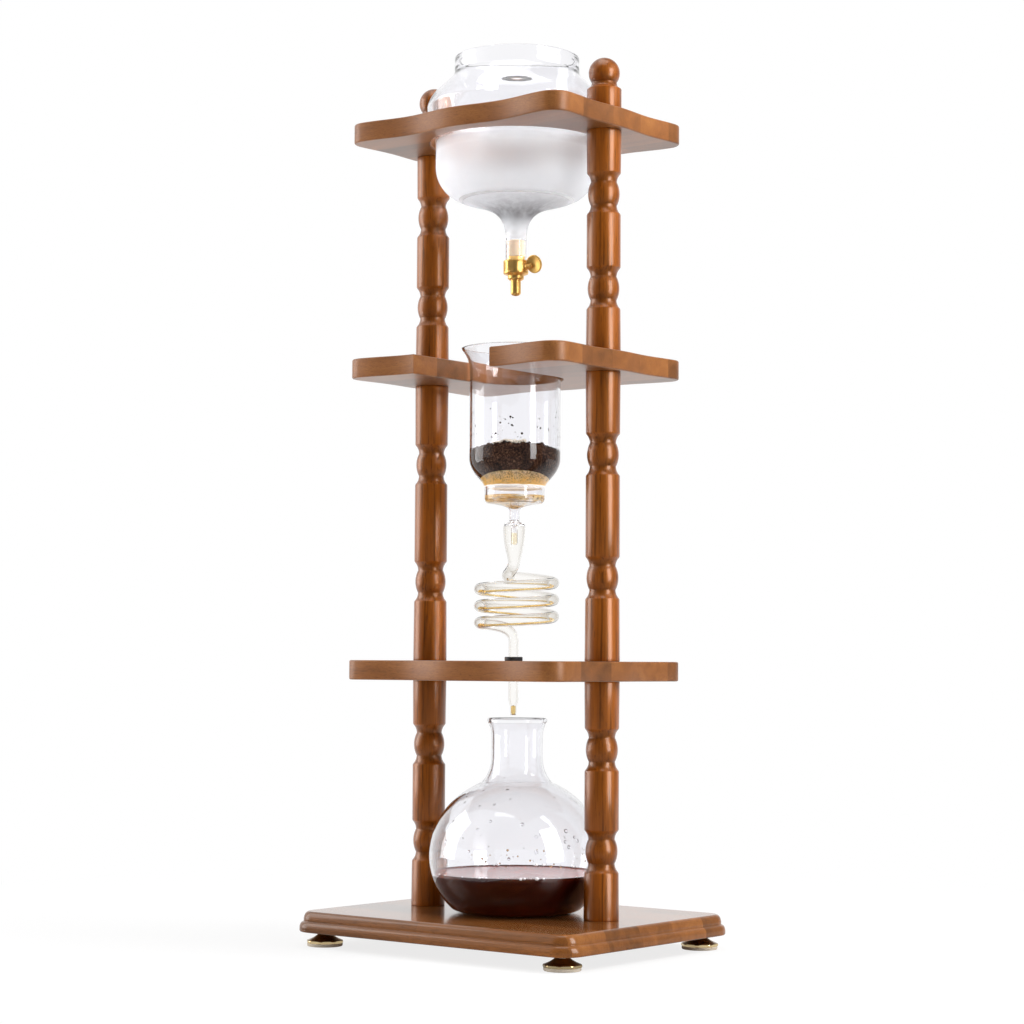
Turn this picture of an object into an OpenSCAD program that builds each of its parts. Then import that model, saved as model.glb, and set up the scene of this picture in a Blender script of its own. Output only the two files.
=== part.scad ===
// Cold drip coffee tower. A turned wooden stand holds, one above the other, a water
// globe with a drip valve, a brewing chamber, a coiled glass tube and a flask.
// Millimetres. +Z is up and the floor is z = 0. X runs from post to post, and the
// front of the stand faces -Y. The glass hangs on the Z axis.

/* [Stand] */
// Distance between the two posts, centre to centre
post_gap = 214; // [208:1:230]
// Diameter of the posts where they meet the boards
post_d = 33.4; // [31:0.2:35]
// Height of the lower bay, from the base board to the lower shelf
lower_bay = 224; // [223:1:250]
// Height of the middle bay, from the lower shelf to the middle shelf
middle_bay = 275.5; // [265:0.5:300]
// Height of the upper bay, from the middle shelf to the top shelf
upper_bay = 214; // [205:1:240]
// Height of each pair of beads, as a fraction of its bay
bead_ratio = 0.287; // [0.25:0.001:0.32]

/* [Boards] */
// Width of the base board's top face
base_w = 321; // [310:1:350]
// Depth of the base board's top face
base_d = 249; // [240:1:280]
// Thickness of the base board
base_t = 20; // [18:0.5:26]
// Width of each shelf
shelf_w = 262; // [258:1:290]
// Depth of each shelf
shelf_d = 209; // [202:1:240]
// Thickness of each shelf
shelf_t = 19; // [17:0.5:22]
// Depth of the wave along a shelf's front and back
front_wave = 6; // [0:0.5:8]
// Depth of the wave along a shelf's sides
side_wave = 2.5; // [0:0.5:4]

/* [Feet] */
// Height of the base board above the floor
foot_h = 13.5; // [12:0.5:18]
// Diameter of a levelling foot
foot_d = 36; // [30:1:40]

/* [Globe] */
// Largest diameter of the water globe
globe_d = 176.6; // [170:0.2:180]
// Diameter of the globe below the top shelf
bowl_d = 159.2; // [150:0.2:162]
// Diameter of the globe's mouth
mouth_d = 123; // [110:1:130]
// Wall of the globe
globe_wall = 2.6; // [2:0.1:3.5]

/* [Brewing chamber] */
// Diameter of the chamber's body
chamber_d = 89.4; // [80:0.2:92]
// Wall of the chamber
chamber_wall = 2.2; // [1.8:0.1:2.6]

/* [Coil] */
// Diameter of the coil, measured at the tube's centre line
coil_d = 72; // [60:1:84]
// Diameter of the coil's tube
tube_d = 11.2; // [10.4:0.1:12]
// Fall of the tube in one turn
coil_pitch = 16.4; // [15:0.1:18]
// Direction that the coil starts from, seen from above
coil_yaw = 36; // [0:1:90]

/* [Flask] */
// Largest diameter of the flask
flask_d = 170; // [160:1:174]
// Height of the flask
flask_h = 187.5; // [180:0.5:187.5]
// Distance of the flask from the middle of the stand, to the right
flask_x = 3; // [0:0.5:4]
// Distance of the flask from the middle of the stand, to the back
flask_y = 2.5; // [0:0.5:5]

/* [Hidden] */
$fn = 72;

wood = "sienna";
dark_wood = "saddlebrown";
clear_glass = [0.85, 0.92, 0.95, 0.4];
brass = "goldenrod";
bronze = "#5a431f";

// Gap between a glass and the wood that holds it
glass_gap = 0.3;
// Radial clearance of a running fit
run_gap = 0.05;
// Clearance of a bolt or stud in the boards
bolt_gap = 0.3;

// Heights of the boards
base_top = foot_h + base_t;
z1_low = base_top + lower_bay;
z1 = z1_low + shelf_t;
z2_low = z1 + middle_bay;
z2 = z2_low + shelf_t;
z3_low = z2 + upper_bay;
z3 = z3_low + shelf_t;
post_x = post_gap / 2;
post_r = post_d / 2;
chamber_r = chamber_d / 2;
slot_r = chamber_r + 2.3;

// ---- curves -------------------------------------------------------------

// Points of an arc round c, from angle a0 to a1
function arc(c, r, a0, a1, n) =
    [for (i = [0:n]) let (a = a0 + (a1 - a0) * i / n) c + r * [cos(a), sin(a)]];

// Points of a cubic curve with the control points p
function curve(p, n) =
    [for (i = [0:n])
        let (t = i / n, s = 1 - t)
        s * s * s * p[0] + 3 * s * s * t * p[1] + 3 * s * t * t * p[2] + t * t * t * p[3]];

function reversed(list) = [for (i = [len(list) - 1:-1:0]) list[i]];

// A body of revolution with the outline pts = [radius, height]
module turned(pts) rotate_extrude() polygon(pts);

// The wall between an outer and an inner outline, both listed from the same end
module turned_wall(outer, inner) turned(concat(outer, reversed(inner)));

// The same thing at each post
module at_posts() for (side = [-1, 1]) translate([side * post_x, 0, 0]) children();

// ---- boards -------------------------------------------------------------

base_corner = 14;
flange = 8.7;
// Outline of the base board's edge as [distance beyond the top face, height]
base_edge = concat(
    [[flange - 2, 0]],
    arc([flange - 2.4, 2.4], 2.4, -50, 0, 3),
    curve([[flange, 4], [flange, 7.6], [flange - 1.6, 9.6], [flange - 3.5, 10.4]], 5),
    curve([[flange - 3.9, 11], [flange - 3.9, base_t - 4.5], [3.2, base_t - 1], [0, base_t]], 6)
);

// A straight length of board with the edge moulded along both sides
module moulded_length(half, length)
    rotate([90, 0, 0])
        linear_extrude(length, center = true)
            polygon(concat(
                [for (p = base_edge) [half + p[0], p[1]]],
                reversed([for (p = base_edge) [-half - p[0], p[1]]])
            ));

module moulded_board(w, d)
{
    cx = w / 2 - base_corner;
    cy = d / 2 - base_corner;
    moulded_length(w / 2, 2 * cy);
    rotate([0, 0, 90]) moulded_length(d / 2, 2 * cx);
    for (x = [-cx, cx], y = [-cy, cy])
        translate([x, y, 0])
            turned(concat([[0, 0]], [for (p = base_edge) [base_corner + p[0], p[1]]], [[0, base_t]]));
}

shelf_corner = 18;
wave_x = shelf_w / 2 - shelf_corner;
wave_y = shelf_d / 2 - shelf_corner;
function front_line(x) = -shelf_d / 2 + front_wave * (1 - cos(360 * x / wave_x)) / 2;
function side_line(y) = shelf_w / 2 - side_wave * (1 - cos(360 * y / wave_y)) / 2;
// A quarter of the outline, from the middle of the front to the middle of the right side
shelf_quarter = concat(
    [for (i = [0:15]) let (x = wave_x * i / 16) [x, front_line(x)]],
    arc([wave_x, -wave_y], shelf_corner, -90, 0, 8),
    [for (i = [1:11]) let (y = -wave_y * (1 - i / 12)) [side_line(y), y]]
);
shelf_half = concat(
    shelf_quarter,
    [[side_line(0), 0]],
    reversed([for (p = shelf_quarter) [p[0], -p[1]]])
);
shelf_outline = concat(
    shelf_half,
    reversed([for (i = [1:len(shelf_half) - 2]) [-shelf_half[i][0], shelf_half[i][1]]])
);

module shelf(z)
    difference() {
        translate([0, 0, z]) linear_extrude(shelf_t) polygon(shelf_outline);
        at_posts() translate([0, 0, z - 1]) cylinder(r = stud_r + bolt_gap, h = shelf_t + 2);
    }

module base_board()
    color(wood)
        difference() {
            translate([0, 0, foot_h]) moulded_board(base_w, base_d);
            at_posts() {
                translate([0, 0, foot_h - 1]) cylinder(r = stud_r + bolt_gap, h = base_t + 2);
                translate([0, 0, foot_h - 1]) cylinder(r = bolt_head_r + bolt_gap, h = bolt_head_h + 2);
            }
            at_feet() translate([0, 0, foot_h - 1]) cylinder(r = insert_r, h = insert_h + 1);
        }

module lower_shelf()
    color(dark_wood)
        difference() {
            shelf(z1_low);
            translate([0, 0, z1_low - 1]) cylinder(r = grommet_r, h = shelf_t + 2);
        }

// The slot takes the chamber from the front
module middle_shelf()
    color(dark_wood)
        difference() {
            shelf(z2_low);
            translate([0, 0, z2_low - 1]) {
                cylinder(r = slot_r, h = shelf_t + 2);
                translate([-slot_r, -shelf_d, 0]) cube([2 * slot_r, shelf_d, shelf_t + 2]);
            }
        }

module top_shelf()
    color(dark_wood)
        difference() {
            shelf(z3_low);
            translate([0, 0, z3_low - 1]) cylinder(r = hole_r, h = shelf_t + 2);
        }

// ---- posts --------------------------------------------------------------

stud_r = 4;
stud_depth = 30;
bolt_head_r = 7;
bolt_head_h = 5;
neck_r = post_r - 4.2;
bead_r = post_r - 1.5;
bead_half = 11.2;
cove_half = 19.4;

// Radius of the circle through a sagitta of s on half a chord of h
function bow(s, h) = (s * s + h * h) / (2 * s);

// Outline of neck, bead and neck round height z, from the bottom up
function beads(z, r) =
    let (
        cove_h = cove_half - bead_half,
        cove_s = r - 0.5 - neck_r,
        cove = bow(cove_s, cove_h),
        cove_a = asin(cove_h / cove),
        bead_s = bead_r - neck_r,
        bead = bow(bead_s, bead_half),
        bead_a = asin(bead_half / bead)
    )
    concat(
        [[r, z - cove_half - 1]],
        arc([neck_r + cove, z - bead_half], cove, 180 + cove_a, 182, 5),
        arc([bead_r - bead, z], bead, -bead_a, bead_a, 12),
        arc([neck_r + cove, z + bead_half], cove, 178, 180 - cove_a, 5),
        [[r, z + cove_half + 1]]
    );

// A turned post of height h with a bore for a stud at each end
module post(h)
{
    edge = 0.6;
    mid_r = post_r - 0.4;
    difference() {
        turned(concat(
            [[0, 0], [post_r - edge, 0], [post_r, edge]],
            beads(bead_ratio * h, mid_r),
            beads((1 - bead_ratio) * h, mid_r),
            [[post_r, h - edge], [post_r - edge, h], [0, h]]
        ));
        translate([0, 0, -1]) cylinder(r = stud_r + run_gap, h = stud_depth + 2);
        translate([0, 0, h - stud_depth - 1]) cylinder(r = stud_r + run_gap, h = stud_depth + 2);
    }
}

module post_at(side, z, h) color(wood) translate([side * post_x, 0, z]) post(h);
module lower_post_left() post_at(-1, base_top, lower_bay);
module lower_post_right() post_at(1, base_top, lower_bay);
module middle_post_left() post_at(-1, z1, middle_bay);
module middle_post_right() post_at(1, z1, middle_bay);
module upper_post_left() post_at(-1, z2, upper_bay);
module upper_post_right() post_at(1, z2, upper_bay);

ball_r = 15;
finial_bore = 20;
module finial(side)
    color(wood)
        translate([side * post_x, 0, z3])
            difference() {
                turned(concat(
                    [[0, 0], [post_r - 0.6, 0], [post_r, 0.6], [post_r, 20.6], [post_r - 0.8, 21.6]],
                    curve([[post_r - 1.4, 22], [post_r - 4, 23.4], [12.4, 25], [12.1, 27.4]], 5),
                    arc([0, 36.9], ball_r, -36, 90, 20)
                ));
                translate([0, 0, -1]) cylinder(r = stud_r + run_gap, h = finial_bore + 1);
            }
module finial_left() finial(-1);
module finial_right() finial(1);

// Bolts hold the lower posts from under the base board, and studs join the rest
module base_bolts()
    color("silver")
        at_posts() {
            translate([0, 0, foot_h + 1]) cylinder(r = bolt_head_r, h = bolt_head_h);
            translate([0, 0, foot_h + 1 + bolt_head_h])
                cylinder(r = stud_r, h = base_t - 1 - bolt_head_h + stud_depth - 1);
        }

module studs(z, up)
    color("silver")
        at_posts()
            translate([0, 0, z - stud_depth + 1])
                cylinder(r = stud_r, h = shelf_t + stud_depth - 1 + up);
module lower_studs() studs(z1_low, stud_depth - 1);
module middle_studs() studs(z2_low, stud_depth - 1);
module top_studs() studs(z3_low, finial_bore - 2);

// ---- feet ---------------------------------------------------------------

foot_x = base_w / 2 - 16;
foot_y = base_d / 2 - 15;
insert_r = 5;
insert_h = 14;
stem_r = 3;
pad_h = 3;
// Room above the foot to screw it further in
foot_room = 2;
foot_top = foot_h - foot_room;

module at_feet() for (x = [-foot_x, foot_x], y = [-foot_y, foot_y]) translate([x, y, 0]) children();

module foot_inserts()
    color(brass)
        at_feet()
            translate([0, 0, foot_h])
                difference() {
                    cylinder(r = insert_r, h = insert_h);
                    translate([0, 0, -1]) cylinder(r = stem_r + run_gap, h = insert_h + 2);
                }

// A flared cone with eight flats round its rim
module foot(x, y)
    color(bronze)
        translate([x * foot_x, y * foot_y, 0])
            intersection() {
                turned(concat(
                    [[0, pad_h], [foot_d / 2 - 0.6, pad_h], [foot_d / 2, pad_h + 0.8],
                        [foot_d / 2, pad_h + 2]],
                    curve([[foot_d / 2 - 0.6, pad_h + 2.6], [foot_d / 2 - 5, pad_h + 4],
                        [8.4, foot_top - 1.8], [7.2, foot_top]], 6),
                    [[0, foot_top]]
                ));
                rotate([0, 0, 22.5]) cylinder(r = foot_d / 2 + 0.5, h = foot_h, $fn = 8);
            }

module foot_stem(x, y)
    color("silver")
        translate([x * foot_x, y * foot_y, foot_top])
            cylinder(r = stem_r, h = foot_room + insert_h - 3);

module foot_pad(x, y)
    color("tan") translate([x * foot_x, y * foot_y, 0]) cylinder(r = foot_d / 2 - 0.8, h = pad_h);

module foot_front_left() foot(-1, -1);
module foot_front_right() foot(1, -1);
module foot_back_left() foot(-1, 1);
module foot_back_right() foot(1, 1);
module foot_stem_front_left() foot_stem(-1, -1);
module foot_stem_front_right() foot_stem(1, -1);
module foot_stem_back_left() foot_stem(-1, 1);
module foot_stem_back_right() foot_stem(1, 1);
module foot_pad_front_left() foot_pad(-1, -1);
module foot_pad_front_right() foot_pad(1, -1);
module foot_pad_back_left() foot_pad(-1, 1);
module foot_pad_back_right() foot_pad(1, 1);

// ---- water globe and drip valve -----------------------------------------

globe_r = globe_d / 2;
bowl_r = bowl_d / 2;
mouth_r = mouth_d / 2;
// The globe's shoulder rests on the edge of this hole
hole_r = globe_r - 3.5;
spout_r = 10.4;
spout_wall = 1.3;
spout_end = z3 - 134;
valve_z = z3 - 141;

// Outline of the globe's outside, from the mouth down, moved in by e
function globe_outline(e) =
    let (r = globe_r - e, b = bowl_r - e, m = mouth_r - e, s = spout_r - min(e, spout_wall))
    concat(
        [[m - 1.2, z3 + 67.6]],
        [[m, z3 + 66.4], [m, z3 + 62.6], [m - 1, z3 + 61.2], [m + 1, z3 + 58.8], [m + 0.4, z3 + 56]],
        curve([[m + 0.4, z3 + 52], [m + 2, z3 + 45], [r, z3 + 42 - e], [r, z3 + 20]], 12),
        curve([[r, z3 + 16], [r, z3 + 5], [hole_r + 0.6 - e, z3 + 2.5], [b + 1.6, z3 - 6]], 8),
        curve([[b, z3 - 14], [b, z3 - 20], [b, z3 - 30], [b, z3 - 42]], 2),
        arc([b - 34, z3 - 42 - 0.4 * e], 34, -6, -74, 9),
        curve([[b - 28, z3 - 76 + e], [22 - e, z3 - 83.5 + e], [s, z3 - 88], [s, z3 - 114]], 10),
        [[s, spout_end]]
    );

module globe() color(clear_glass) turned_wall(globe_outline(0), globe_outline(globe_wall));

stopper_top = spout_end + 19.5;
stopper_low = spout_end + 3.5;
stopper_r = spout_r - spout_wall;
spigot_r = 3.6;
water_r = 1.8;
module valve_stopper()
    color("peachpuff")
        difference() {
            turned([[0, stopper_low], [stopper_r, stopper_low], [stopper_r, stopper_top - 0.8],
                [stopper_r - 0.8, stopper_top], [0, stopper_top]]);
            translate([0, 0, stopper_low - 1]) cylinder(r = spigot_r, h = stopper_top - stopper_low + 2);
        }

collar_r = 12.3;
collar_top = spout_end - 0.3;
collar_low = collar_top - 13.6;
plug_r = 3.5;
plug_back = 8;
nozzle_top = collar_low - 5.6;
nozzle_r = 5;
module valve_body()
    color(brass)
        difference() {
            turned(concat(
                [[0, stopper_top - 1], [spigot_r, stopper_top - 1], [spigot_r, stopper_low],
                    [stopper_r - 0.2, stopper_low], [stopper_r - 0.2, collar_top],
                    [collar_r - 0.9, collar_top]],
                arc([collar_r - 0.9, collar_top - 0.9], 0.9, 60, 0, 2),
                [[collar_r, collar_low + 0.8], [collar_r - 1, collar_low], [8.4, collar_low - 1],
                    [7.9, collar_low - 1.4], [7.9, collar_low - 4.6], [6.6, nozzle_top], [0, nozzle_top]]
            ));
            // The way of the water
            translate([0, 0, nozzle_top - 1]) cylinder(r = water_r, h = stopper_top - nozzle_top + 2);
            // The seat of the key, blind at the back
            translate([-plug_back, 0, valve_z])
                rotate([0, 90, 0]) cylinder(r = plug_r, h = plug_back + collar_r + 1);
            // Eight narrow flats round the collar
            for (a = [0:45:315])
                rotate([0, 0, a]) translate([collar_r - 0.35, -15, collar_low + 2.4]) cube([2, 30, 9.6]);
        }

module valve_nozzle()
    color(brass)
        difference() {
            turned(concat(
                [[0, nozzle_top], [nozzle_r, nozzle_top], [nozzle_r, nozzle_top - 12.4]],
                arc([nozzle_r - 3, nozzle_top - 12.4], 3, 0, -60, 4),
                [[water_r + 0.4, nozzle_top - 15.4], [0, nozzle_top - 15.4]]
            ));
            translate([0, 0, nozzle_top - 17]) cylinder(r = water_r, h = 20);
        }

// The key turns about X. Its paddle leans a little at rest
key_lean = 15;
paddle_x = 20.8;
paddle_flat = 1.1;
paddle_t = 2.2;
key_r = plug_r - run_gap;
groove_r = plug_r - 0.8;
shank_r = 2.3;
module key_stem()
    color(brass)
        translate([0, 0, valve_z])
            difference() {
                rotate([0, 90, 0])
                    turned(concat(
                        [[0, -plug_back + 0.3], [key_r, -plug_back + 0.3], [key_r, seal_x - 1],
                            [groove_r, seal_x - 1], [groove_r, seal_x + 1], [key_r, seal_x + 1],
                            [key_r, collar_r + 1.2], [shank_r, collar_r + 1.6], [shank_r, paddle_x - 3]],
                        arc([0, paddle_x - 3], shank_r, 15, 90, 5)
                    ));
                rotate([key_lean, 0, 0]) {
                    cylinder(r = water_r, h = 20, center = true);
                    // The flat that carries the paddle
                    translate([paddle_x - 9.6, paddle_flat, -5]) cube([20, 5, 10]);
                }
            }

seal_x = 9;
module key_seal()
    color("dimgray")
        translate([seal_x, 0, valve_z])
            rotate([0, 90, 0])
                difference() {
                    cylinder(r = plug_r - 0.02, h = 2, center = true);
                    cylinder(r = groove_r, h = 3, center = true);
                }

// A round thumb plate behind the end of the stem
module key_paddle()
    color(brass)
        translate([paddle_x, 0, valve_z])
            rotate([key_lean, 0, 0])
                translate([0.6, paddle_flat + paddle_t, 1.2])
                    rotate([90, 0, 0])
                        turned([[0, 0], [8.6, 0], [9.4, 0.6], [9.4, paddle_t - 0.6],
                            [8.6, paddle_t], [0, paddle_t]]);

// ---- brewing chamber ----------------------------------------------------

seat_r = 29.4;
cap_r = 10.2;
// The chamber takes this share of the bay and leaves the rest to the coil
cap_z = z2 - 0.5902 * middle_bay;
drip_r = 3.1;

// The part of the outline where the body narrows to the neck, moved in by e
function narrowing(e) =
    let (r = chamber_r - e, s = seat_r - e)
    curve([[r, cap_z + 66.6], [r, cap_z + 50.6], [s, cap_z + 43.6 + e], [s, cap_z + 36.6]], 10);

// Outline of the chamber's outside, from the rim down, moved in by e
function chamber_outline(e) =
    let (r = chamber_r - e, s = seat_r - e, stem = 4.9 - min(e, 1.2))
    concat(
        [[r + 8, z2 + 11.4]],
        curve([[r + 7.2, z2 + 9.8], [r + 3, z2 + 3], [r, z2 - 1], [r, z2 - 12]], 8),
        [[r, z2 - 50], [r, cap_z + 70.6]],
        narrowing(e),
        [[s, cap_z + 29.6]],
        arc([s - 5, cap_z + 26.6 + e], 5, 0, -70, 4),
        curve([[s - 9, cap_z + 21.4 + e], [8, cap_z + 18.6 + e], [stem, cap_z + 18.6], [stem, cap_z + 12.6]], 6),
        [[stem, cap_z + 6.6]]
    );

module brewing_chamber()
    color(clear_glass)
        turned(concat(
            chamber_outline(0),
            // The cap that stands on the coil's mouth, and the drip tube inside it
            curve([[4.9, cap_z + 5.6], [5, cap_z + 3], [cap_r, cap_z + 3.4], [cap_r, cap_z]], 6),
            [[drip_r, cap_z], [drip_r, cap_z - 17], [drip_r - 0.5, cap_z - 18.5],
                [drip_r - 1.1, cap_z - 18.5], [drip_r - 1.1, cap_z + 2]],
            reversed(chamber_outline(chamber_wall))
        ));

gasket_top = cap_z + 38.2;
gasket_h = 2.2;
filter_top = cap_z + 47.2;
filter_side = [
    for (p = reversed(narrowing(chamber_wall + glass_gap)))
        if (p[1] > gasket_top + 0.6 && p[1] < filter_top - 0.6) p
];
filter_r = filter_side[len(filter_side) - 1][0];
// A porous puck that fills the foot of the body and stands on its gasket
module ceramic_filter()
    color("tan")
        turned(concat(
            [[0, gasket_top], [seat_r - chamber_wall - 1, gasket_top]],
            filter_side,
            [[filter_r, filter_top - 0.4], [filter_r - 1, filter_top],
                [filter_r * 0.55, filter_top + 1.4], [0, filter_top + 1.8]]
        ));

module filter_gasket()
    color("white")
        translate([0, 0, gasket_top - gasket_h])
            difference() {
                cylinder(r = seat_r - chamber_wall, h = gasket_h);
                translate([0, 0, -1]) cylinder(r = seat_r - chamber_wall - 3, h = gasket_h + 2);
            }

// ---- condenser coil -----------------------------------------------------

coil_r = coil_d / 2;
// The coil stands a little to one side of its own mouth
coil_off = 2.5;
// Rise of the coil towards its back, and fall towards its right side
coil_tilt = [1.2, 0.8];
tube_r = tube_d / 2;
tube_wall = 1.3;
leg_r = 4.95;
mouth_z = cap_z - glass_gap;
turns = 2.75;
tip_z = z1_low - 33.5;
helix_top = mouth_z - 50.4;
helix_low = helix_top - turns * coil_pitch;

// Point of the helix: a counts the degrees turned, clockwise from the back
function helix(a) = [
    coil_off + coil_r * sin(a),
    coil_r * cos(a),
    helix_top - coil_pitch * a / 360 + coil_tilt[0] * cos(a) - coil_tilt[1] * sin(a)
];

// Each entry is [centre line point, radius of the tube], from the mouth to the tip
mouth_part = [
    for (p = [[0, 10.7], [3, 10.9], [12, 10.4], [22, 8.8], [30, 6.8], [35, 5.9]])
        [[0, 0, mouth_z - p[0]], p[1]]
];
entry_part = [
    for (p = curve([[0, 0, mouth_z - 36.5], [-4, 0, mouth_z - 50],
        helix(0) + [-18, 0, 1.8], helix(0)], 12)) [p, tube_r]
];
helix_part = [for (i = [1:turns * 24]) [helix(i * 15), tube_r]];
exit_part = [
    for (i = [1:10])
        [curve([helix(360 * turns), helix(360 * turns) + [0, 20, -2],
            [0, 0, helix_low + 1.5], [0, 0, helix_low - 17]], 10)[i], tube_r + (leg_r - tube_r) * i / 10]
];
leg_part = [
    for (p = [[helix_low - 22, leg_r], [tip_z + 15.4, leg_r], [tip_z + 12.5, leg_r - 0.6],
        [tip_z + 9, 3.3], [tip_z + 2, 3], [tip_z, 2.4]]) [[0, 0, p[0]], p[1]]
];
coil_path = concat(mouth_part, entry_part, helix_part, exit_part, leg_part);

function unit(v) = v / norm(v);
// Direction of the path at point i
function heading(p, i) = unit(p[min(i + 1, len(p) - 1)][0] - p[max(i - 1, 0)][0]);
// A direction across the path at every point, carried along without twist
function across(p, i, u) =
    i == len(p) ? [] : let (t = heading(p, i), n = unit(u - (u * t) * t)) concat([n], across(p, i + 1, n));

// A tube along path p with a wall of w
module swept_tube(p, w, sides)
{
    n = len(p);
    u = across(p, 0, [1, 0, 0]);
    rings = [
        for (inside = [0, 1], i = [0:n - 1], k = [0:sides - 1])
            let (t = heading(p, i), v = cross(t, u[i]), r = p[i][1] - inside * w, a = 360 * k / sides)
            p[i][0] + r * (cos(a) * u[i] + sin(a) * v)
    ];
    function at(inside, i, k) = (inside * n + i) * sides + k % sides;
    sheath = [
        for (inside = [0, 1], i = [0:n - 2], k = [0:sides - 1], half = [0, 1])
            let (
                a = at(inside, i, k),
                b = at(inside, i, k + 1),
                c = at(inside, i + 1, k + 1),
                d = at(inside, i + 1, k),
                f = half == 0 ? [a, b, c] : [a, c, d]
            )
            inside == 1 ? f : [f[2], f[1], f[0]]
    ];
    ends = [
        for (e = [0, 1], k = [0:sides - 1], half = [0, 1])
            let (
                i = e * (n - 1),
                a = at(0, i, k),
                b = at(0, i, k + 1),
                c = at(1, i, k + 1),
                d = at(1, i, k),
                f = half == 0 ? [a, b, c] : [a, c, d]
            )
            e == 0 ? f : [f[2], f[1], f[0]]
    ];
    polyhedron(rings, concat(sheath, ends));
}

module condenser_coil() color(clear_glass) rotate([0, 0, coil_yaw]) swept_tube(coil_path, tube_wall, 14);

grommet_r = 7.5;
module tube_grommet()
    color("black")
        translate([0, 0, z1])
            difference() {
                union() {
                    cylinder(r = 8.8, h = 4);
                    translate([0, 0, -10]) cylinder(r = grommet_r, h = 11);
                }
                translate([0, 0, -11]) cylinder(r = leg_r + glass_gap, h = 20);
            }

// ---- flask --------------------------------------------------------------

flask_r = flask_d / 2;
flask_wall = 2.4;
flask_neck_r = 25.1;
flask_mid = base_top + 54;
flask_up = 78;
flask_down = 74;
flask_foot = base_top;
shoulder_a = acos((flask_neck_r + 5) / flask_r);

// Outline of the flask's outside, from the rim down, moved in by e
function flask_outline(e) =
    let (r = flask_r - e, n = flask_neck_r - e, top = flask_foot + flask_h)
    concat(
        [[n + 3, top], [n + 4.2, top - 1.2], [n + 4.2, top - 3]],
        curve([[n + 3.3, top - 4.4], [n + 1.4, top - 8], [n, top - 12], [n, top - 18]], 5),
        curve([[n, flask_mid + 94], [n, flask_mid + 82],
            [n + 1, flask_mid + flask_up - e],
            [r * cos(shoulder_a), flask_mid + (flask_up - e) * sin(shoulder_a)]], 5),
        [for (a = [shoulder_a - 6:-6:2]) [r * cos(a), flask_mid + (flask_up - e) * sin(a)]],
        [for (a = [0:-6:-38]) [r * cos(a), flask_mid + (flask_down - e) * sin(a)]],
        curve([[r * cos(42), flask_mid - (flask_down - e) * sin(42)], [r * 0.72, flask_foot + 2.5 + e],
            [52 - e, flask_foot + e], [46 - e, flask_foot + e]], 6),
        [[40, flask_foot + e], [20, flask_foot + 2 + e], [0, flask_foot + 3 + e]]
    );

module flask()
    color(clear_glass)
        translate([flask_x, flask_y, 0]) turned_wall(flask_outline(0), flask_outline(flask_wall));

base_board();
lower_shelf();
middle_shelf();
top_shelf();
lower_post_left();
lower_post_right();
middle_post_left();
middle_post_right();
upper_post_left();
upper_post_right();
finial_left();
finial_right();
base_bolts();
lower_studs();
middle_studs();
top_studs();
foot_inserts();
tube_grommet();
foot_front_left();
foot_front_right();
foot_back_left();
foot_back_right();
foot_stem_front_left();
foot_stem_front_right();
foot_stem_back_left();
foot_stem_back_right();
foot_pad_front_left();
foot_pad_front_right();
foot_pad_back_left();
foot_pad_back_right();
globe();
valve_stopper();
valve_body();
valve_nozzle();
key_stem();
key_paddle();
key_seal();
brewing_chamber();
ceramic_filter();
filter_gasket();
condenser_coil();
flask();
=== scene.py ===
import math
from math import acos, asin, cos, pi, radians, sin

import bpy
from bpy.props import FloatProperty, FloatVectorProperty, IntProperty, PointerProperty
from bpy.types import Operator, Panel, PropertyGroup
from mathutils import Matrix, Vector, noise
from mathutils.geometry import tessellate_polygon


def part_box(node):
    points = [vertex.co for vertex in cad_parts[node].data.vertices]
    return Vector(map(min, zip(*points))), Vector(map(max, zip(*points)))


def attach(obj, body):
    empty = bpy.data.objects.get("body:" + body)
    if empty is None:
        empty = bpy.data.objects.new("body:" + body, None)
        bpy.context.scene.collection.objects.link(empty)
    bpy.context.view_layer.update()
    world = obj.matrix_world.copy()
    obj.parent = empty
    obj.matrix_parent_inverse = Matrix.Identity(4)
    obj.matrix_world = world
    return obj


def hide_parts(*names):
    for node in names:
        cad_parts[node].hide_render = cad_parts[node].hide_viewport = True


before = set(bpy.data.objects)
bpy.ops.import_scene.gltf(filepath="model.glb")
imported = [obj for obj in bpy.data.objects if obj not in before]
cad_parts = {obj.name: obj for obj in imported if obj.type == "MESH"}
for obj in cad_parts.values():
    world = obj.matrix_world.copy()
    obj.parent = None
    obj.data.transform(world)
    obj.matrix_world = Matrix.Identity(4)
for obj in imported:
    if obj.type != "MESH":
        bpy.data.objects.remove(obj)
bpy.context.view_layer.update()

bl_info = {
    "name": "Cold Drip Tower",
    "version": (1, 0, 0),
    "blender": (4, 5, 0),
    "location": "3D View > Sidebar > Drip Tower",
    "description": "Dresses a cold drip coffee tower: turned wood, glass, brass and coffee",
    "category": "Object",
}

MM = 0.001


def top_of(node):
    """Height of a node's top, in millimetres."""
    return round(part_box(node)[1].z / MM, 2)


def foot_of(node):
    """Height of a node's underside, in millimetres."""
    return round(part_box(node)[0].z / MM, 2)


# Heights of the boards, in millimetres
BASE_LOW, BASE_TOP = foot_of("base_board"), top_of("base_board")
Z1_LOW, Z1 = foot_of("lower_shelf"), top_of("lower_shelf")
Z2_LOW, Z2 = foot_of("middle_shelf"), top_of("middle_shelf")
Z3_LOW, Z3 = foot_of("top_shelf"), top_of("top_shelf")

# Directions in the main view: towards the camera, and to the right
TO_CAMERA, TO_RIGHT = (0.621, -0.784, 0), (0.784, 0.621, 0)

# ---------------------------------------------------------------- settings


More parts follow.
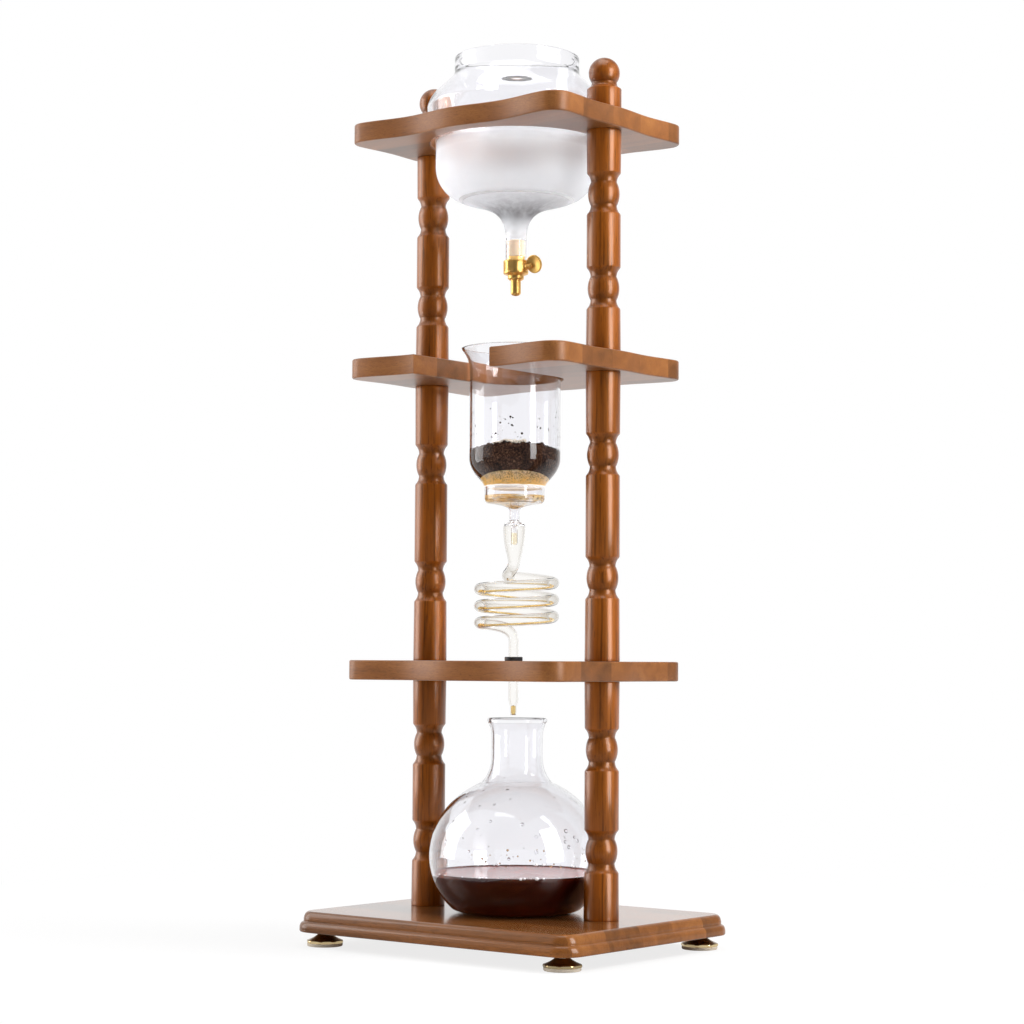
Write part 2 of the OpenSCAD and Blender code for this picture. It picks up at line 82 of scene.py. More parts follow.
class WoodSettings(PropertyGroup):
    post_gap: FloatProperty(
        name="Post gap", description="Distance between the posts", default=0.214, unit="LENGTH"
    )
    post_colour: FloatVectorProperty(
        name="Post colour", description="Middle tone of the turned wood", subtype="COLOR",
        default=(0.265, 0.068, 0.004),
    )
    shelf_colour: FloatVectorProperty(
        name="Shelf colour", description="Middle tone of the shelves", subtype="COLOR",
        default=(0.222, 0.078, 0.019),
    )
    base_colour: FloatVectorProperty(
        name="Base colour", description="Middle tone of the base board", subtype="COLOR",
        default=(0.225, 0.079, 0.019),
    )
    easing: FloatProperty(
        name="Easing", description="Radius of the eased edges of the shelves", default=0.0016,
        unit="LENGTH",
    )


class GlassSettings(PropertyGroup):
    # The edge colour is painted shade: the grey that stands in for the darker look reflections give
    # glass seen edge-on
    edge_shade_colour: FloatVectorProperty(
        name="Edge colour", description="Tone that clear glass takes at its edges", subtype="COLOR",
        default=(0.62, 0.63, 0.64),
    )
    mist: FloatProperty(
        name="Mist", description="How much condensation the water globe carries", default=0.8,
        min=0.0, max=1.0, subtype="FACTOR",
    )
    drops: IntProperty(
        name="Drops", description="Drops on the shoulder of the flask", default=90, min=0, max=400
    )


class CoffeeSettings(PropertyGroup):
    level: FloatProperty(
        name="Coffee level", description="Height of the coffee above the floor", default=0.0712,
        unit="LENGTH",
    )
    coffee_colour: FloatVectorProperty(
        name="Coffee colour", description="Colour of the brewed coffee", subtype="COLOR",
        default=(0.025, 0.0013, 0.0007),
    )
    grains: IntProperty(
        name="Grains", description="Loose grains on top of the grounds", default=420,
        min=0, max=2000,
    )


# ---------------------------------------------------------------- curves


def arc(c, r, a0, a1, n):
    """Points of an arc round c, with angles in degrees."""
    turn = [radians(a0 + (a1 - a0) * i / n) for i in range(n + 1)]
    return [(c[0] + r * cos(a), c[1] + r * sin(a)) for a in turn]


def curve(p, n):
    """Points of a cubic curve with four control points."""
    out = []
    for i in range(n + 1):
        t = i / n
        s = 1 - t
        w = (s * s * s, 3 * s * s * t, 3 * s * t * t, t * t * t)
        out.append(tuple(sum(w[k] * p[k][j] for k in range(4)) for j in range(len(p[0]))))
    return out


def polar(r, a, z=0.0):
    """The point at radius r, a degrees from +X."""
    return (r * cos(radians(a)), r * sin(radians(a)), z)


def cleaned(points, least=0.02):
    """The points without those that lie closer than least to the one before."""
    out = [points[0]]
    for p in points[1:]:
        if math.dist(p, out[-1]) > least:
            out.append(p)
    return out


# ---------------------------------------------------------------- meshes


def bands(rows, n, first=0):
    """The faces between rows of n points, each row closed round on itself."""
    faces = []
    for i in range(rows - 1):
        for k in range(n):
            a, b = first + i * n + k, first + i * n + (k + 1) % n
            faces.append((a, b, b + n, a + n))
    return faces


def signed_volume(verts, faces):
    """Six times the volume that the faces enclose: negative where they point inwards."""
    total = 0.0
    for f in faces:
        a = Vector(verts[f[0]])
        for k in range(1, len(f) - 1):
            total += a.dot(Vector(verts[f[k]]).cross(Vector(verts[f[k + 1]])))
    return total


def piece(name, verts, faces, material, body, nodes=(), slot=None, angle=35, flat=()):
    """A finished piece from millimetre points. Its faces point outwards."""
    if signed_volume(verts, faces) < 0:
        faces = [tuple(reversed(f)) for f in faces]
    mesh = bpy.data.meshes.new(name)
    mesh.from_pydata([(x * MM, y * MM, z * MM) for x, y, z in verts], [], faces)
    mesh.polygons.foreach_set("use_smooth", [True] * len(faces))
    mesh.set_sharp_from_angle(angle=radians(angle))
    for i in flat:
        mesh.polygons[i].use_smooth = False
    mesh.materials.append(material)
    mesh.update()
    obj = bpy.data.objects.new(name, mesh)
    bpy.context.scene.collection.objects.link(obj)
    return declare(obj, body, nodes)


def declare(obj, body, nodes=()):
    """Puts a piece on the body it rides on, and hides the nodes that it stands for."""
    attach(obj, body)
    if nodes:
        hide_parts(*nodes)
    return obj


def lathed(profile, sides=96, loop=False, at=(0, 0)):
    """Vertices and faces of a turned form. A loop closes the profile on itself."""
    verts, faces, rings = [], [], []
    for r, z in profile:
        if r < 1e-6:
            rings.append([len(verts)] * sides)
            verts.append((at[0], at[1], z))
        else:
            rings.append(list(range(len(verts), len(verts) + sides)))
            for k in range(sides):
                a = 2 * pi * k / sides
                verts.append((at[0] + r * cos(a), at[1] + r * sin(a), z))
    pairs = list(zip(rings, rings[1:]))
    if loop:
        pairs.append((rings[-1], rings[0]))
    for low, high in pairs:
        for k in range(sides):
            q = (low[k], low[(k + 1) % sides], high[(k + 1) % sides], high[k])
            q = tuple(dict.fromkeys(q))
            if len(q) > 2:
                faces.append(q)
    return verts, faces


def wall(outline, thickness):
    """The closed profile of a glass wall: outline(e) gives the form moved in by e."""
    return cleaned(outline(0.0)) + list(reversed(cleaned(outline(thickness))))


def moved(part, matrix):
    """Vertices and faces with the vertices placed by a matrix."""
    return [tuple(matrix @ Vector(v)) for v in part[0]], part[1]


def inset(loop, d):
    """A closed outline, anticlockwise, moved inwards by d."""
    out = []
    n = len(loop)
    for i in range(n):
        p, q, s = (Vector(loop[j % n]) for j in (i - 1, i, i + 1))
        u, v = (q - p).normalized(), (s - q).normalized()
        m = Vector((-u.y - v.y, u.x + v.x))
        m = m.normalized() if m.length > 1e-6 else Vector((-u.y, u.x))
        stretch = 1 / max(0.45, m.dot(Vector((-u.y, u.x))))
        out.append(tuple(q + m * d * stretch))
    return out


def plate(outline, low, high, easing, hole=None, steps=4):
    """A board with eased edges. The outline runs anticlockwise and the hole clockwise."""
    levels = [(easing * (1 - sin(a)), low + easing * (1 - cos(a)))
              for a in (pi / 2 * i / steps for i in range(steps + 1))]
    levels += [(d, high + low - z) for d, z in reversed(levels)]
    verts, faces, caps = [], [], []
    for loop in [outline] + ([hole] if hole else []):
        n = len(loop)
        first = len(verts)
        for d, z in levels:
            verts += [(x, y, z) for x, y in inset(loop, d)]
        faces += bands(len(levels), n, first)
        caps.append((first, first + (len(levels) - 1) * n, n))
    flat = []
    for end in (0, 1):
        index = [c[end] + k for c in caps for k in range(c[2])]
        rings = [[Vector(verts[c[end] + k]) for k in range(c[2])] for c in caps]
        for tri in tessellate_polygon(rings):
            t = [index[i] for i in tri]
            a, b, c = (Vector(verts[i]) for i in t)
            if ((b - a).cross(c - a).z > 0) != bool(end):
                t.reverse()
            flat.append(len(faces))
            faces.append(tuple(t))
    return verts, faces, flat


def swept(path, radii, sides=24):
    """A solid tube along a path of millimetre points."""
    pts = [Vector(p) for p in path]
    n = len(pts)
    side = Vector((1, 0, 0))
    verts, faces = [], []
    for i in range(n):
        t = (pts[min(i + 1, n - 1)] - pts[max(i - 1, 0)]).normalized()
        side = (side - t * side.dot(t)).normalized()
        other = t.cross(side)
        for k in range(sides):
            a = 2 * pi * k / sides
            verts.append(tuple(pts[i] + (side * cos(a) + other * sin(a)) * radii[i]))
    faces += bands(n, sides)
    for i, turn in ((0, True), (n - 1, False)):
        c = len(verts)
        verts.append(tuple(pts[i]))
        for k in range(sides):
            a, b = i * sides + k, i * sides + (k + 1) % sides
            faces.append((c, b, a) if turn else (c, a, b))
    return verts, faces


# ---------------------------------------------------------------- shader maths

# Outputs of the Light Path node
CAMERA_RAY, SHADOW_RAY, GLOSSY_RAY, TRANSMISSION_RAY, TRANSMISSION_DEPTH = 0, 1, 3, 6, 12


class Wire:
    """A socket of a node tree, used in sums as a number is."""

    def __init__(self, paint, socket):
        self.paint = paint
        self.socket = socket

    def math(self, operation, other, swap=False):
        ends = (other, self) if swap else (self, other)
        return self.paint.node("Math", {"operation": operation}, {0: ends[0], 1: ends[1]})[0]

    def __add__(self, other):
        return self.math("ADD", other)

    def __sub__(self, other):
        return self.math("SUBTRACT", other)

    def __rsub__(self, other):
        return self.math("SUBTRACT", other, True)

    def __mul__(self, other):
        return self.math("MULTIPLY", other)

    def __truediv__(self, other):
        return self.math("DIVIDE", other)

    def __rtruediv__(self, other):
        return self.math("DIVIDE", other, True)

    def __pow__(self, other):
        return self.math("POWER", other)

    def over(self, other):
        """1 where this is greater than other, and 0 elsewhere."""
        return self.math("GREATER_THAN", other)

    __radd__ = __add__
    __rmul__ = __mul__


class Paint:
    """One material's node tree."""

    def __init__(self, name, tree=None):
        if tree is None:
            self.material = bpy.data.materials.new(name)
            self.material.use_nodes = True
            tree = self.material.node_tree
        self.tree = tree
        tree.nodes.clear()

    def node(self, kind, settings=None, values=None):
        """A node of any type: its settings first, then the values or links of its sockets."""
        n = self.tree.nodes.new("ShaderNode" + kind)
        for key, value in (settings or {}).items():
            if key == "stops":
                ramp = n.color_ramp
                while len(ramp.elements) < len(value):
                    ramp.elements.new(0.5)
                for e, (place, colour) in zip(ramp.elements, value):
                    e.position = place
                    e.color = (*colour, 1) if len(colour) == 3 else colour
            else:
                setattr(n, key, value)
        for key, value in (values or {}).items():
            socket = n.inputs[key]
            if isinstance(value, Wire):
                self.tree.links.new(value.socket, socket)
            elif isinstance(value, tuple) and len(value) == 3 and len(socket.default_value) == 4:
                socket.default_value = (*value, 1)
            else:
                socket.default_value = value
        return [Wire(self, s) for s in n.outputs]

    def place(self, stretch=(1, 1, 1), shift=(0, 0, 0), turn=(0, 0, 0)):
        """Object coordinates, stretched."""
        spot = self.node("TexCoord")[3]
        return self.node("Mapping", {}, {0: spot, 1: shift, 2: turn, 3: stretch})[0]

    def noise(self, at, scale, detail=2.0, rough=0.5, bend=0.0):
        values = {"Vector": at, "Scale": scale, "Detail": detail, "Roughness": rough,
                  "Distortion": bend}
        return self.node("TexNoise", {}, values)[0]

    def ramp(self, value, *stops):
        return self.node("ValToRGB", {"stops": stops}, {0: value})[0]

    def level(self, value, low, high, a=0.0, b=1.0):
        """value from low..high to a..b, clamped."""
        return self.node("MapRange", {"clamp": True}, {0: value, 1: low, 2: high, 3: a, 4: b})[0]

    def mix(self, share, a, b, blend="MIX"):
        settings = {"data_type": "RGBA", "blend_type": blend}
        return self.node("Mix", settings, {0: share, 6: a, 7: b})[2]

    def dot(self, a, b):
        return self.node("VectorMath", {"operation": "DOT_PRODUCT"}, {0: a, 1: b})[1]

    def split(self, vector):
        return self.node("SeparateXYZ", {}, {0: vector})

    def bump(self, height, strength, distance):
        values = {"Height": height, "Strength": strength, "Distance": distance}
        return self.node("Bump", {}, values)[0]

    def facing(self, blend=0.5):
        return self.node("LayerWeight", {}, {0: blend})[1]

    def surface(self, **values):
        """A Principled shader with the named sockets, spaces written as _."""
        values = {key.replace("_", " "): value for key, value in values.items()}
        return self.node("BsdfPrincipled", {}, values)[0]

    def blended(self, share, a, b):
        return self.node("MixShader", {}, {0: share, 1: a, 2: b})[0]

    def clear(self, colour=(1, 1, 1)):
        return self.node("BsdfTransparent", {}, {0: colour})[0]

    def done(self, shader):
        self.node("OutputMaterial", {}, {0: shader})
        return self.material


MADE = {}


def once(make):
    """A material or tree that is made the first time it is asked for."""
    def get():
        if make.__name__ not in MADE:
            MADE[make.__name__] = make()
        return MADE[make.__name__]
    return get


def shade(colour, factor):
    """A colour made lighter or darker by one factor, or by one for each channel."""
    factors = factor if isinstance(factor, tuple) else (factor,) * 3
    return tuple(c * f for c, f in zip(colour, factors))


# ---------------------------------------------------------------- wood


def staves(p, width, length):
    """A random tone for each glued stave, and a mask of the joints between them."""
    spot = p.split(p.place())
    row = (spot[1] / width + 100.37).math("FLOOR", 0)
    slide = p.node("TexWhiteNoise", {"noise_dimensions": "1D"}, {"W": row})[0]
    along = spot[0] / length + slide + 50.0
    cell = along.math("FLOOR", 0)
    tone = p.node("TexWhiteNoise", {"noise_dimensions": "2D"},
                  {"Vector": p.node("CombineXYZ", {}, {0: row, 1: cell})[0]})[0]
    across = (spot[1] / width + 100.37).math("FRACT", 0)
    ends = along.math("FRACT", 0)
    near = across.math("MINIMUM", 1 - across) * width
    near_end = ends.math("MINIMUM", 1 - ends) * length
    joint = 1 - p.level(near.math("MINIMUM", near_end), 0.0, 0.0004)
    return tone, joint, slide


def board_wood(name, colour, dull=0.38, stave=0.046, length=0.34):
    """Lacquered boards glued from staves that run from left to right, with glossier flat faces."""
    p = Paint(name)
    tone, joint, slide = staves(p, stave, length)
    wander = p.node("CombineXYZ", {}, {0: tone * 3.0, 1: tone * 7.0, 2: slide * 2.0})[0]
    spot = p.node("VectorMath", {"operation": "ADD"}, {0: p.place((1.0, 9.0, 9.0)), 1: wander})[0]
    broad = p.noise(spot, 7.0, 3.0, 0.55, 0.6)
    fine = p.noise(p.place((6.0, 120.0, 120.0)), 9.0, 4.0, 0.65)
    pores = p.level(p.noise(p.place((20.0, 300.0, 300.0)), 6.0, 2.0, 0.6), 0.56, 0.68)
    flecks = p.level(p.noise(p.place((60.0, 160.0, 160.0)), 5.0, 3.0, 0.7), 0.6, 0.72)
    mixed = broad * 0.55 + fine * 0.45 + (tone - 0.5) * 0.32
    paint = p.ramp(mixed, (0.22, shade(colour, 0.42)), (0.42, shade(colour, 0.85)),
                   (0.58, shade(colour, 1.15)), (0.8, shade(colour, (1.6, 1.75, 1.8))))
    paint = p.mix(pores * 0.45, paint, shade(colour, 0.25))
    paint = p.mix(flecks * p.level(broad, 0.42, 0.6) * 0.7, paint, shade(colour, 0.22))
    paint = p.mix(joint * 0.45, paint, shade(colour, 0.35))
    rough = 0.4 + fine * 0.12
    lumps = p.bump(fine * 0.5 - pores, 0.25, 0.0002)
    up = p.split(p.node("TexCoord")[1])[2].math("ABSOLUTE", 0)
    gloss = p.level(up, 0.6, 0.9, 0.6, 1.0)
    shader = p.surface(Base_Color=paint, Roughness=rough, Normal=lumps, Coat_Weight=gloss,
                       Coat_Roughness=dull, Specular_IOR_Level=0.15, Specular_Tint=(1, 0.5, 0.2, 1))
    return p.done(shader)


@once
def shelf_wood():
    """The lacquered wood of the three shelves."""
    return board_wood("shelf_wood", bpy.context.scene.tower_wood.shelf_colour[:])


@once
def base_wood():
    """The wood of the base board, under a glossier lacquer."""
    return board_wood("base_wood", bpy.context.scene.tower_wood.base_colour[:], 0.13, 0.052, 0.4)


@once
def post_wood():
    """Turned wood with its grain along the post, under a glossy lacquer, with painted shade in its
    grooves.
    """
    colour = bpy.context.scene.tower_wood.post_colour[:]
    p = Paint("post_wood")
    broad = p.noise(p.place((34.0, 34.0, 2.4)), 1.6, 3.0, 0.6, 0.8)
    fine = p.noise(p.place((260.0, 260.0, 9.0)), 2.4, 4.0, 0.65, 0.2)
    streak = p.level(p.noise(p.place((150.0, 150.0, 3.2)), 2.2, 3.0, 0.7, 0.5), 0.52, 0.68)
    pores = p.level(p.noise(p.place((900.0, 900.0, 45.0)), 1.2, 2.0, 0.6), 0.6, 0.7)
    mixed = broad * 0.6 + fine * 0.4
    paint = p.ramp(mixed, (0.25, shade(colour, 0.45)), (0.45, shade(colour, 0.9)),
                   (0.6, shade(colour, 1.2)), (0.8, shade(colour, (1.6, 1.9, 2.2))))
    paint = p.mix(streak * 0.85, paint, shade(colour, 0.2))
    paint = p.mix(pores * 0.6, paint, shade(colour, 0.2))
    # Painted shade: the wood is darkened where it lies nearer to the post's axis, in the turned
    # grooves and over the finial's neck and ball
    half = bpy.context.scene.tower_wood.post_gap / 2
    spot = p.split(p.place())
    away = ((spot[0].math("ABSOLUTE", 0) - half) ** 2.0 + spot[1] ** 2.0) ** 0.5
    groove_shade = p.level(away, (POST_R - 0.8) * MM, (POST_R - 4.5) * MM)
    paint = p.mix(groove_shade * 0.55, paint, shade(colour, 0.3))
    lumps = p.bump(fine * 0.4 - pores, 0.2, 0.00015)
    return p.done(p.surface(
        Base_Color=paint, Roughness=0.34 + fine * 0.12, Normal=lumps, Coat_Weight=0.6,
        Coat_Roughness=0.2, Specular_IOR_Level=0.7, Specular_Tint=(1, 0.42, 0.12, 1)))


# ---------------------------------------------------------------- glass and metal


def glass(p, tint=(0.965, 0.963, 0.985), rough=0.0, ior=1.47, edge=None, rim=None):
    """Clear glass whose edges take a painted grey shade, and that lets light through to the floor.
    """
    edge = edge or bpy.context.scene.tower_glass.edge_shade_colour[:]
    rim = rim or p.facing(0.35) ** 2.2
    # Painted edge shade: the tint turns towards the edge colour where the glass is seen edge-on
    colour = p.mix(rim, tint, tuple(a * b for a, b in zip(tint, edge)))
    shader = p.surface(Base_Color=colour, Roughness=rough, IOR=ior, Transmission_Weight=1.0)
    shadow = p.node("LightPath")[SHADOW_RAY]
    return p.blended(shadow * 0.85, shader, p.clear(tint))


@once
def clear_glass():
    """Plain clear glass."""
    p = Paint("clear_glass")
    return p.done(glass(p))


@once
def coil_glass():
    """Glass with weaker bending, which keeps the thin tubes calm, and a trace of coffee."""
    p = Paint("coil_glass")
    # Painted edge shade, warm grey, where the tube is seen edge-on
    rim = p.facing(0.5) ** 1.8
    return p.done(glass(p, tint=(0.99, 0.982, 0.968), ior=1.09, edge=(0.6, 0.57, 0.52), rim=rim))


@once
def misted_glass():
    """The water globe: clear above the shelf, and misted by the cold water below it."""
    p = Paint("misted_glass")
    spot = p.split(p.place())
    low = p.level(spot[2], (Z3_LOW + 4) * MM, (Z3_LOW - 10) * MM)
    low = low * p.level(spot[2], (Z3 - 118) * MM, (Z3 - 92) * MM)
    cloud = p.noise(p.place((1, 1, 0.7)), 26.0, 3.0, 0.55)
    runs = p.noise(p.place((1, 1, 0.05)), 150.0, 2.0, 0.6)
    amount = low * p.level(cloud * 0.7 + runs * 0.3, 0.3, 0.62, 0.6, 1.0)
    amount = amount * bpy.context.scene.tower_glass.mist
    # Painted edge shade on the fogged glass here and on the clear glass below
    fogged = glass(p, tint=(0.99, 0.992, 0.998), rough=0.5, ior=1.16, edge=(0.84, 0.85, 0.87))
    # A darker, streaked band low on the bowl, round the top of the spout
    dark_band = p.level(spot[2], (Z3 - 98) * MM, (Z3 - 90) * MM)
    dark_band = dark_band * p.level(spot[2], (Z3 - 72) * MM, (Z3 - 86) * MM)
    down = p.level(spot[2], (Z3 - 30) * MM, (Z3 - 82) * MM)
    clear = p.blended(low, glass(p, edge=(0.95, 0.95, 0.965)), fogged)
    tone = p.mix(p.level(cloud, 0.35, 0.65), (0.8, 0.82, 0.85), (0.87, 0.88, 0.89))
    tone = p.mix(down * 0.35, tone, (0.66, 0.68, 0.7))
    # Painted shade at the grazing edges of the mist
    tone = p.mix(p.facing(0.4) ** 3.0 * 0.8, tone, (0.55, 0.56, 0.58))
    tone = p.mix(dark_band * p.level(runs, 0.3, 0.6, 0.4, 1.0), tone, (0.3, 0.3, 0.31))
    through = p.node("BsdfTranslucent", {}, {0: tone})[0]
    mist = p.blended(0.5, p.surface(Base_Color=tone, Roughness=0.5), through)
    return p.done(p.blended(amount * (0.4 + down * 0.3) + dark_band * 0.3, clear, mist))


def metal(name, colour, rough, pure=1.0):
    """Polished metal, faintly clouded in its colour and polish."""
    p = Paint(name)
    cloud = p.noise(p.place(), 400.0, 3.0, 0.6)
    paint = p.mix(cloud, shade(colour, 0.82), shade(colour, 1.08))
    return p.done(p.surface(Base_Color=paint, Metallic=pure, Roughness=rough + cloud * 0.06))


@once
def valve_brass():
    """Satin brass."""
    return metal("valve_brass", (1.0, 0.6, 0.17), 0.26, pure=0.75)


@once
def foot_bronze():
    """Dark bronze."""
    return metal("foot_bronze", (0.3, 0.19, 0.075), 0.2)


@once
def foot_rim():
    """Pale polished brass."""
    return metal("foot_rim", (0.92, 0.72, 0.4), 0.16)


@once
def steel():
    """Bare steel."""
    return metal("steel", (0.66, 0.65, 0.63), 0.26)


def plain(name, colour, rough, scale=500.0, depth=0.0001, spread=0.12, **more):
    """A matt or soft material with a slight mottle."""
    p = Paint(name)
    cloud = p.noise(p.place(), scale, 4.0, 0.6)
    paint = p.mix(cloud, shade(colour, 1 - spread), shade(colour, 1 + spread))
    shader = p.surface(Base_Color=paint, Roughness=rough, Normal=p.bump(cloud, 0.3, depth), **more)
    return p.done(shader)


@once
def felt():
    """Fibrous pale felt."""
    return plain("felt", (0.62, 0.54, 0.44), 0.9, 900.0, 0.0004, 0.25)


@once
def black_rubber():
    """Dull black rubber."""
    return plain("black_rubber", (0.018, 0.018, 0.022), 0.5)


@once
def silicone():
    """Cream silicone, which lets a little light in."""
    return plain("silicone", (0.97, 0.74, 0.52), 0.45, 300.0, 0.0001, 0.06, Subsurface_Weight=0.3,
                 Subsurface_Radius=(0.006, 0.004, 0.003), Subsurface_Scale=0.5)


@once
def pale_silicone():
    """Off-white silicone."""
    return plain("pale_silicone", (0.93, 0.9, 0.86), 0.5, 300.0, 0.0001, 0.04)


@once
def puck():
    """Porous ceramic soaked with coffee: golden tan, with dark specks that thin out downwards, and
    a painted glow on its pale underside.
    """
    p = Paint("puck")
    height = p.split(p.place())[2]
    up = p.level(height, (Z2 - 125) * MM, (Z2 - 113) * MM)
    cloud = p.noise(p.place(), 120.0, 4.0, 0.6)
    specks = p.noise(p.place(), 800.0, 2.0, 0.7)
    colour = p.ramp(cloud * 0.6 + up * 0.25, (0.2, (1.0, 0.58, 0.12)), (0.4, (1.0, 0.62, 0.2)),
                    (0.66, (0.86, 0.7, 0.46)))
    dark = p.level(specks + up * 0.17, 0.62, 0.72)
    colour = p.mix(dark * 0.75, colour, (0.07, 0.035, 0.015))
    pale = p.level(height + cloud * 0.0022, (Z2 - 121.6) * MM, (Z2 - 122.6) * MM)
    colour = p.mix(pale, colour, (0.95, 0.92, 0.88))
    # Painted light: the pale underside glows, standing in for the light that reaches it through the
    # glass
    painted_glow = p.mix(pale, (0, 0, 0), (0.42, 0.4, 0.37))
    return p.done(p.surface(Base_Color=colour, Roughness=0.6, Normal=p.bump(specks, 0.4, 0.0003),
                            Specular_IOR_Level=0.1, Emission_Color=painted_glow, Emission_Strength=1.0))


# ---------------------------------------------------------------- what is in the glass


@once
def coffee():
    """Brewed coffee: almost black, and red where little of it lies behind the glass."""
    colour = bpy.context.scene.tower_coffee.coffee_colour[:]
    p = Paint("coffee")
    rim = p.facing(0.5) ** 2.0
    spot = p.split(p.place())
    deep = p.level(spot[2], (BASE_TOP + 2) * MM, (BASE_TOP + 16) * MM)
    thin = (rim * 0.9 + (1 - deep) * 0.2).math("MINIMUM", 1.0)
    paint = p.mix(thin, colour, (0.27, 0.028, 0.004))
    level = bpy.context.scene.tower_coffee.level
    surface = p.level(spot[2], level - 0.0006, level - 0.0002)
    ripple = p.noise(p.place((1, 1, 0)), 70.0, 2.0, 0.5, 1.2)
    return p.done(p.surface(
        Base_Color=paint, Roughness=0.3, Specular_IOR_Level=0.05, Coat_Weight=surface * 0.7,
        Coat_Roughness=0.04, Coat_IOR=1.34, Normal=p.bump(ripple, 0.25, 0.0012)))


@once
def grounds():
    """Wet coffee grounds, from almost black to a few tan grains."""
    p = Paint("grounds")
    grain = p.noise(p.place(), 520.0, 4.0, 0.8)
    cloud = p.noise(p.place(), 60.0, 2.0)
    colour = p.ramp(grain * 0.8 + cloud * 0.2,
                    (0.38, (0.008, 0.003, 0.002)), (0.49, (0.034, 0.014, 0.008)),
                    (0.57, (0.1, 0.046, 0.026)), (0.68, (0.3, 0.17, 0.1)))
    return p.done(p.surface(Base_Color=colour, Roughness=0.8, Normal=p.bump(grain, 0.9, 0.0012),
                            Specular_IOR_Level=0.1))


@once
def dry_grounds():
    """Pale dry coffee grains."""
    return plain("dry_grounds", (0.95, 0.85, 0.7), 0.85, 700.0, 0.0006, 0.4)


@once
def amber():
    """Thin coffee in a tube or a drop."""
    p = Paint("amber")
    return p.done(thin_coffee(p))


@once
def pale_amber():
    """The last of the coffee in the drip tube."""
    p = Paint("pale_amber")
    return p.done(p.clear((1.0, 0.95, 0.82)))


def thin_coffee(p, deep=(0.88, 0.6, 0.2), light=(0.97, 0.8, 0.42)):
    """Golden see-through coffee that casts a golden shadow."""
    cloud = p.noise(p.place(), 90.0, 2.0)
    colour = p.mix(p.level(cloud, 0.35, 0.65), deep, light)
    shader = p.surface(Base_Color=colour, Roughness=0.05, IOR=1.2, Transmission_Weight=0.8,
                       Specular_IOR_Level=0.4)
    shadow = p.node("LightPath")[SHADOW_RAY]
    return p.blended(shadow * 0.8, shader, p.clear((0.95, 0.8, 0.5)))


@once
def film():
    """The last coffee under the filter: streaks of amber with dark bits, clear between them."""
    p = Paint("film")
    spot = p.split(p.place())
    wide = p.noise(p.place((1, 1, 4)), 45.0, 3.0, 0.6, 0.4)
    bits = p.level(p.noise(p.place((1, 1, 2)), 160.0, 2.0, 0.6), 0.57, 0.62)
    high = p.level(spot[2], (Z2 - 140) * MM, (Z2 - 134) * MM)
    cone = p.level(spot[2], (Z2 - 141.5) * MM, (Z2 - 143) * MM)
    share = (p.level(wide + high * 0.16, 0.48, 0.66, 0.12, 0.95) + cone * 0.6).math("MINIMUM", 0.95)
    gold = thin_coffee(p, (0.85, 0.42, 0.08), (0.95, 0.66, 0.25))
    dark = p.surface(Base_Color=(0.09, 0.035, 0.01), Roughness=0.5, Specular_IOR_Level=0.1)
    return p.done(p.blended(share, p.clear(), p.blended(bits * high, gold, dark)))


@once
def foam():
    """The pale bubbles round the edge of the coffee."""
    p = Paint("foam")
    return p.done(p.surface(Base_Color=(0.95, 0.93, 0.92), Roughness=0.12))


@once
def drop_water():
    """Drops of water on glass."""
    p = Paint("drop_water")
    # Painted edge shade, dark, round each drop
    return p.done(glass(p, ior=1.36, edge=(0.35, 0.33, 0.3)))


@once
def drop_coffee():
    """Drops of coffee on glass."""
    p = Paint("drop_coffee")
    # Painted edge shade, dark, round each drop
    return p.done(glass(p, tint=(0.62, 0.42, 0.25), ior=1.36, edge=(0.25, 0.2, 0.15)))


# ---------------------------------------------------------------- forms of the boards

BASE_W, BASE_D, BASE_CORNER = 321.0, 249.0, 14.0  # of the top face
FLANGE = 8.7


def base_edge(t):
    """The moulded edge of the base: distance beyond the top face, and height."""
    low = [(FLANGE - 3.4, 0.0), (FLANGE - 2, 0.25)] + arc((FLANGE - 2.4, 2.4), 2.4, -50, 0, 6)
    bead = curve([(FLANGE, 4), (FLANGE, 7.6), (FLANGE - 1.6, 9.6), (FLANGE - 3.5, 10.4)], 10)
    quirk = [(FLANGE - 3.95, 10.6), (FLANGE - 4.05, 10.9)]
    upper = curve([(FLANGE - 4.0, 11.2), (FLANGE - 3.9, t - 4.5), (3.2, t - 1), (0, t)], 12)
    return cleaned(low + bead + quirk + upper, 0.05)


def rounded_box(w, d, r, n=14):
    """An anticlockwise outline with rounded corners."""
    out = []
    for cx, cy, a in ((1, -1, -90), (1, 1, 0), (-1, 1, 90), (-1, -1, 180)):
        out += arc((cx * (w / 2 - r), cy * (d / 2 - r)), r, a, a + 90, n)
    return out


def moulded_board(w, d, low, t):
    """The base board: one outline for each point of its edge."""
    verts, faces = [], []
    edge = base_edge(t)
    for out, z in edge:
        outline = rounded_box(w + 2 * out, d + 2 * out, BASE_CORNER + out)
        verts += [(x, y, low + z) for x, y in outline]
    n = len(verts) // len(edge)
    faces += bands(len(edge), n)
    flat = [len(faces), len(faces) + 1]
    faces.append(tuple(reversed(range(n))))
    faces.append(tuple(range(len(verts) - n, len(verts))))
    return verts, faces, flat


SHELF_W, SHELF_D = 262.0, 209.0
SHELF_CORNER = 18.0
FRONT_WAVE, SIDE_WAVE = 6.0, 2.5
SLOT_R, TUBE_HOLE_R = 47.0, 7.5


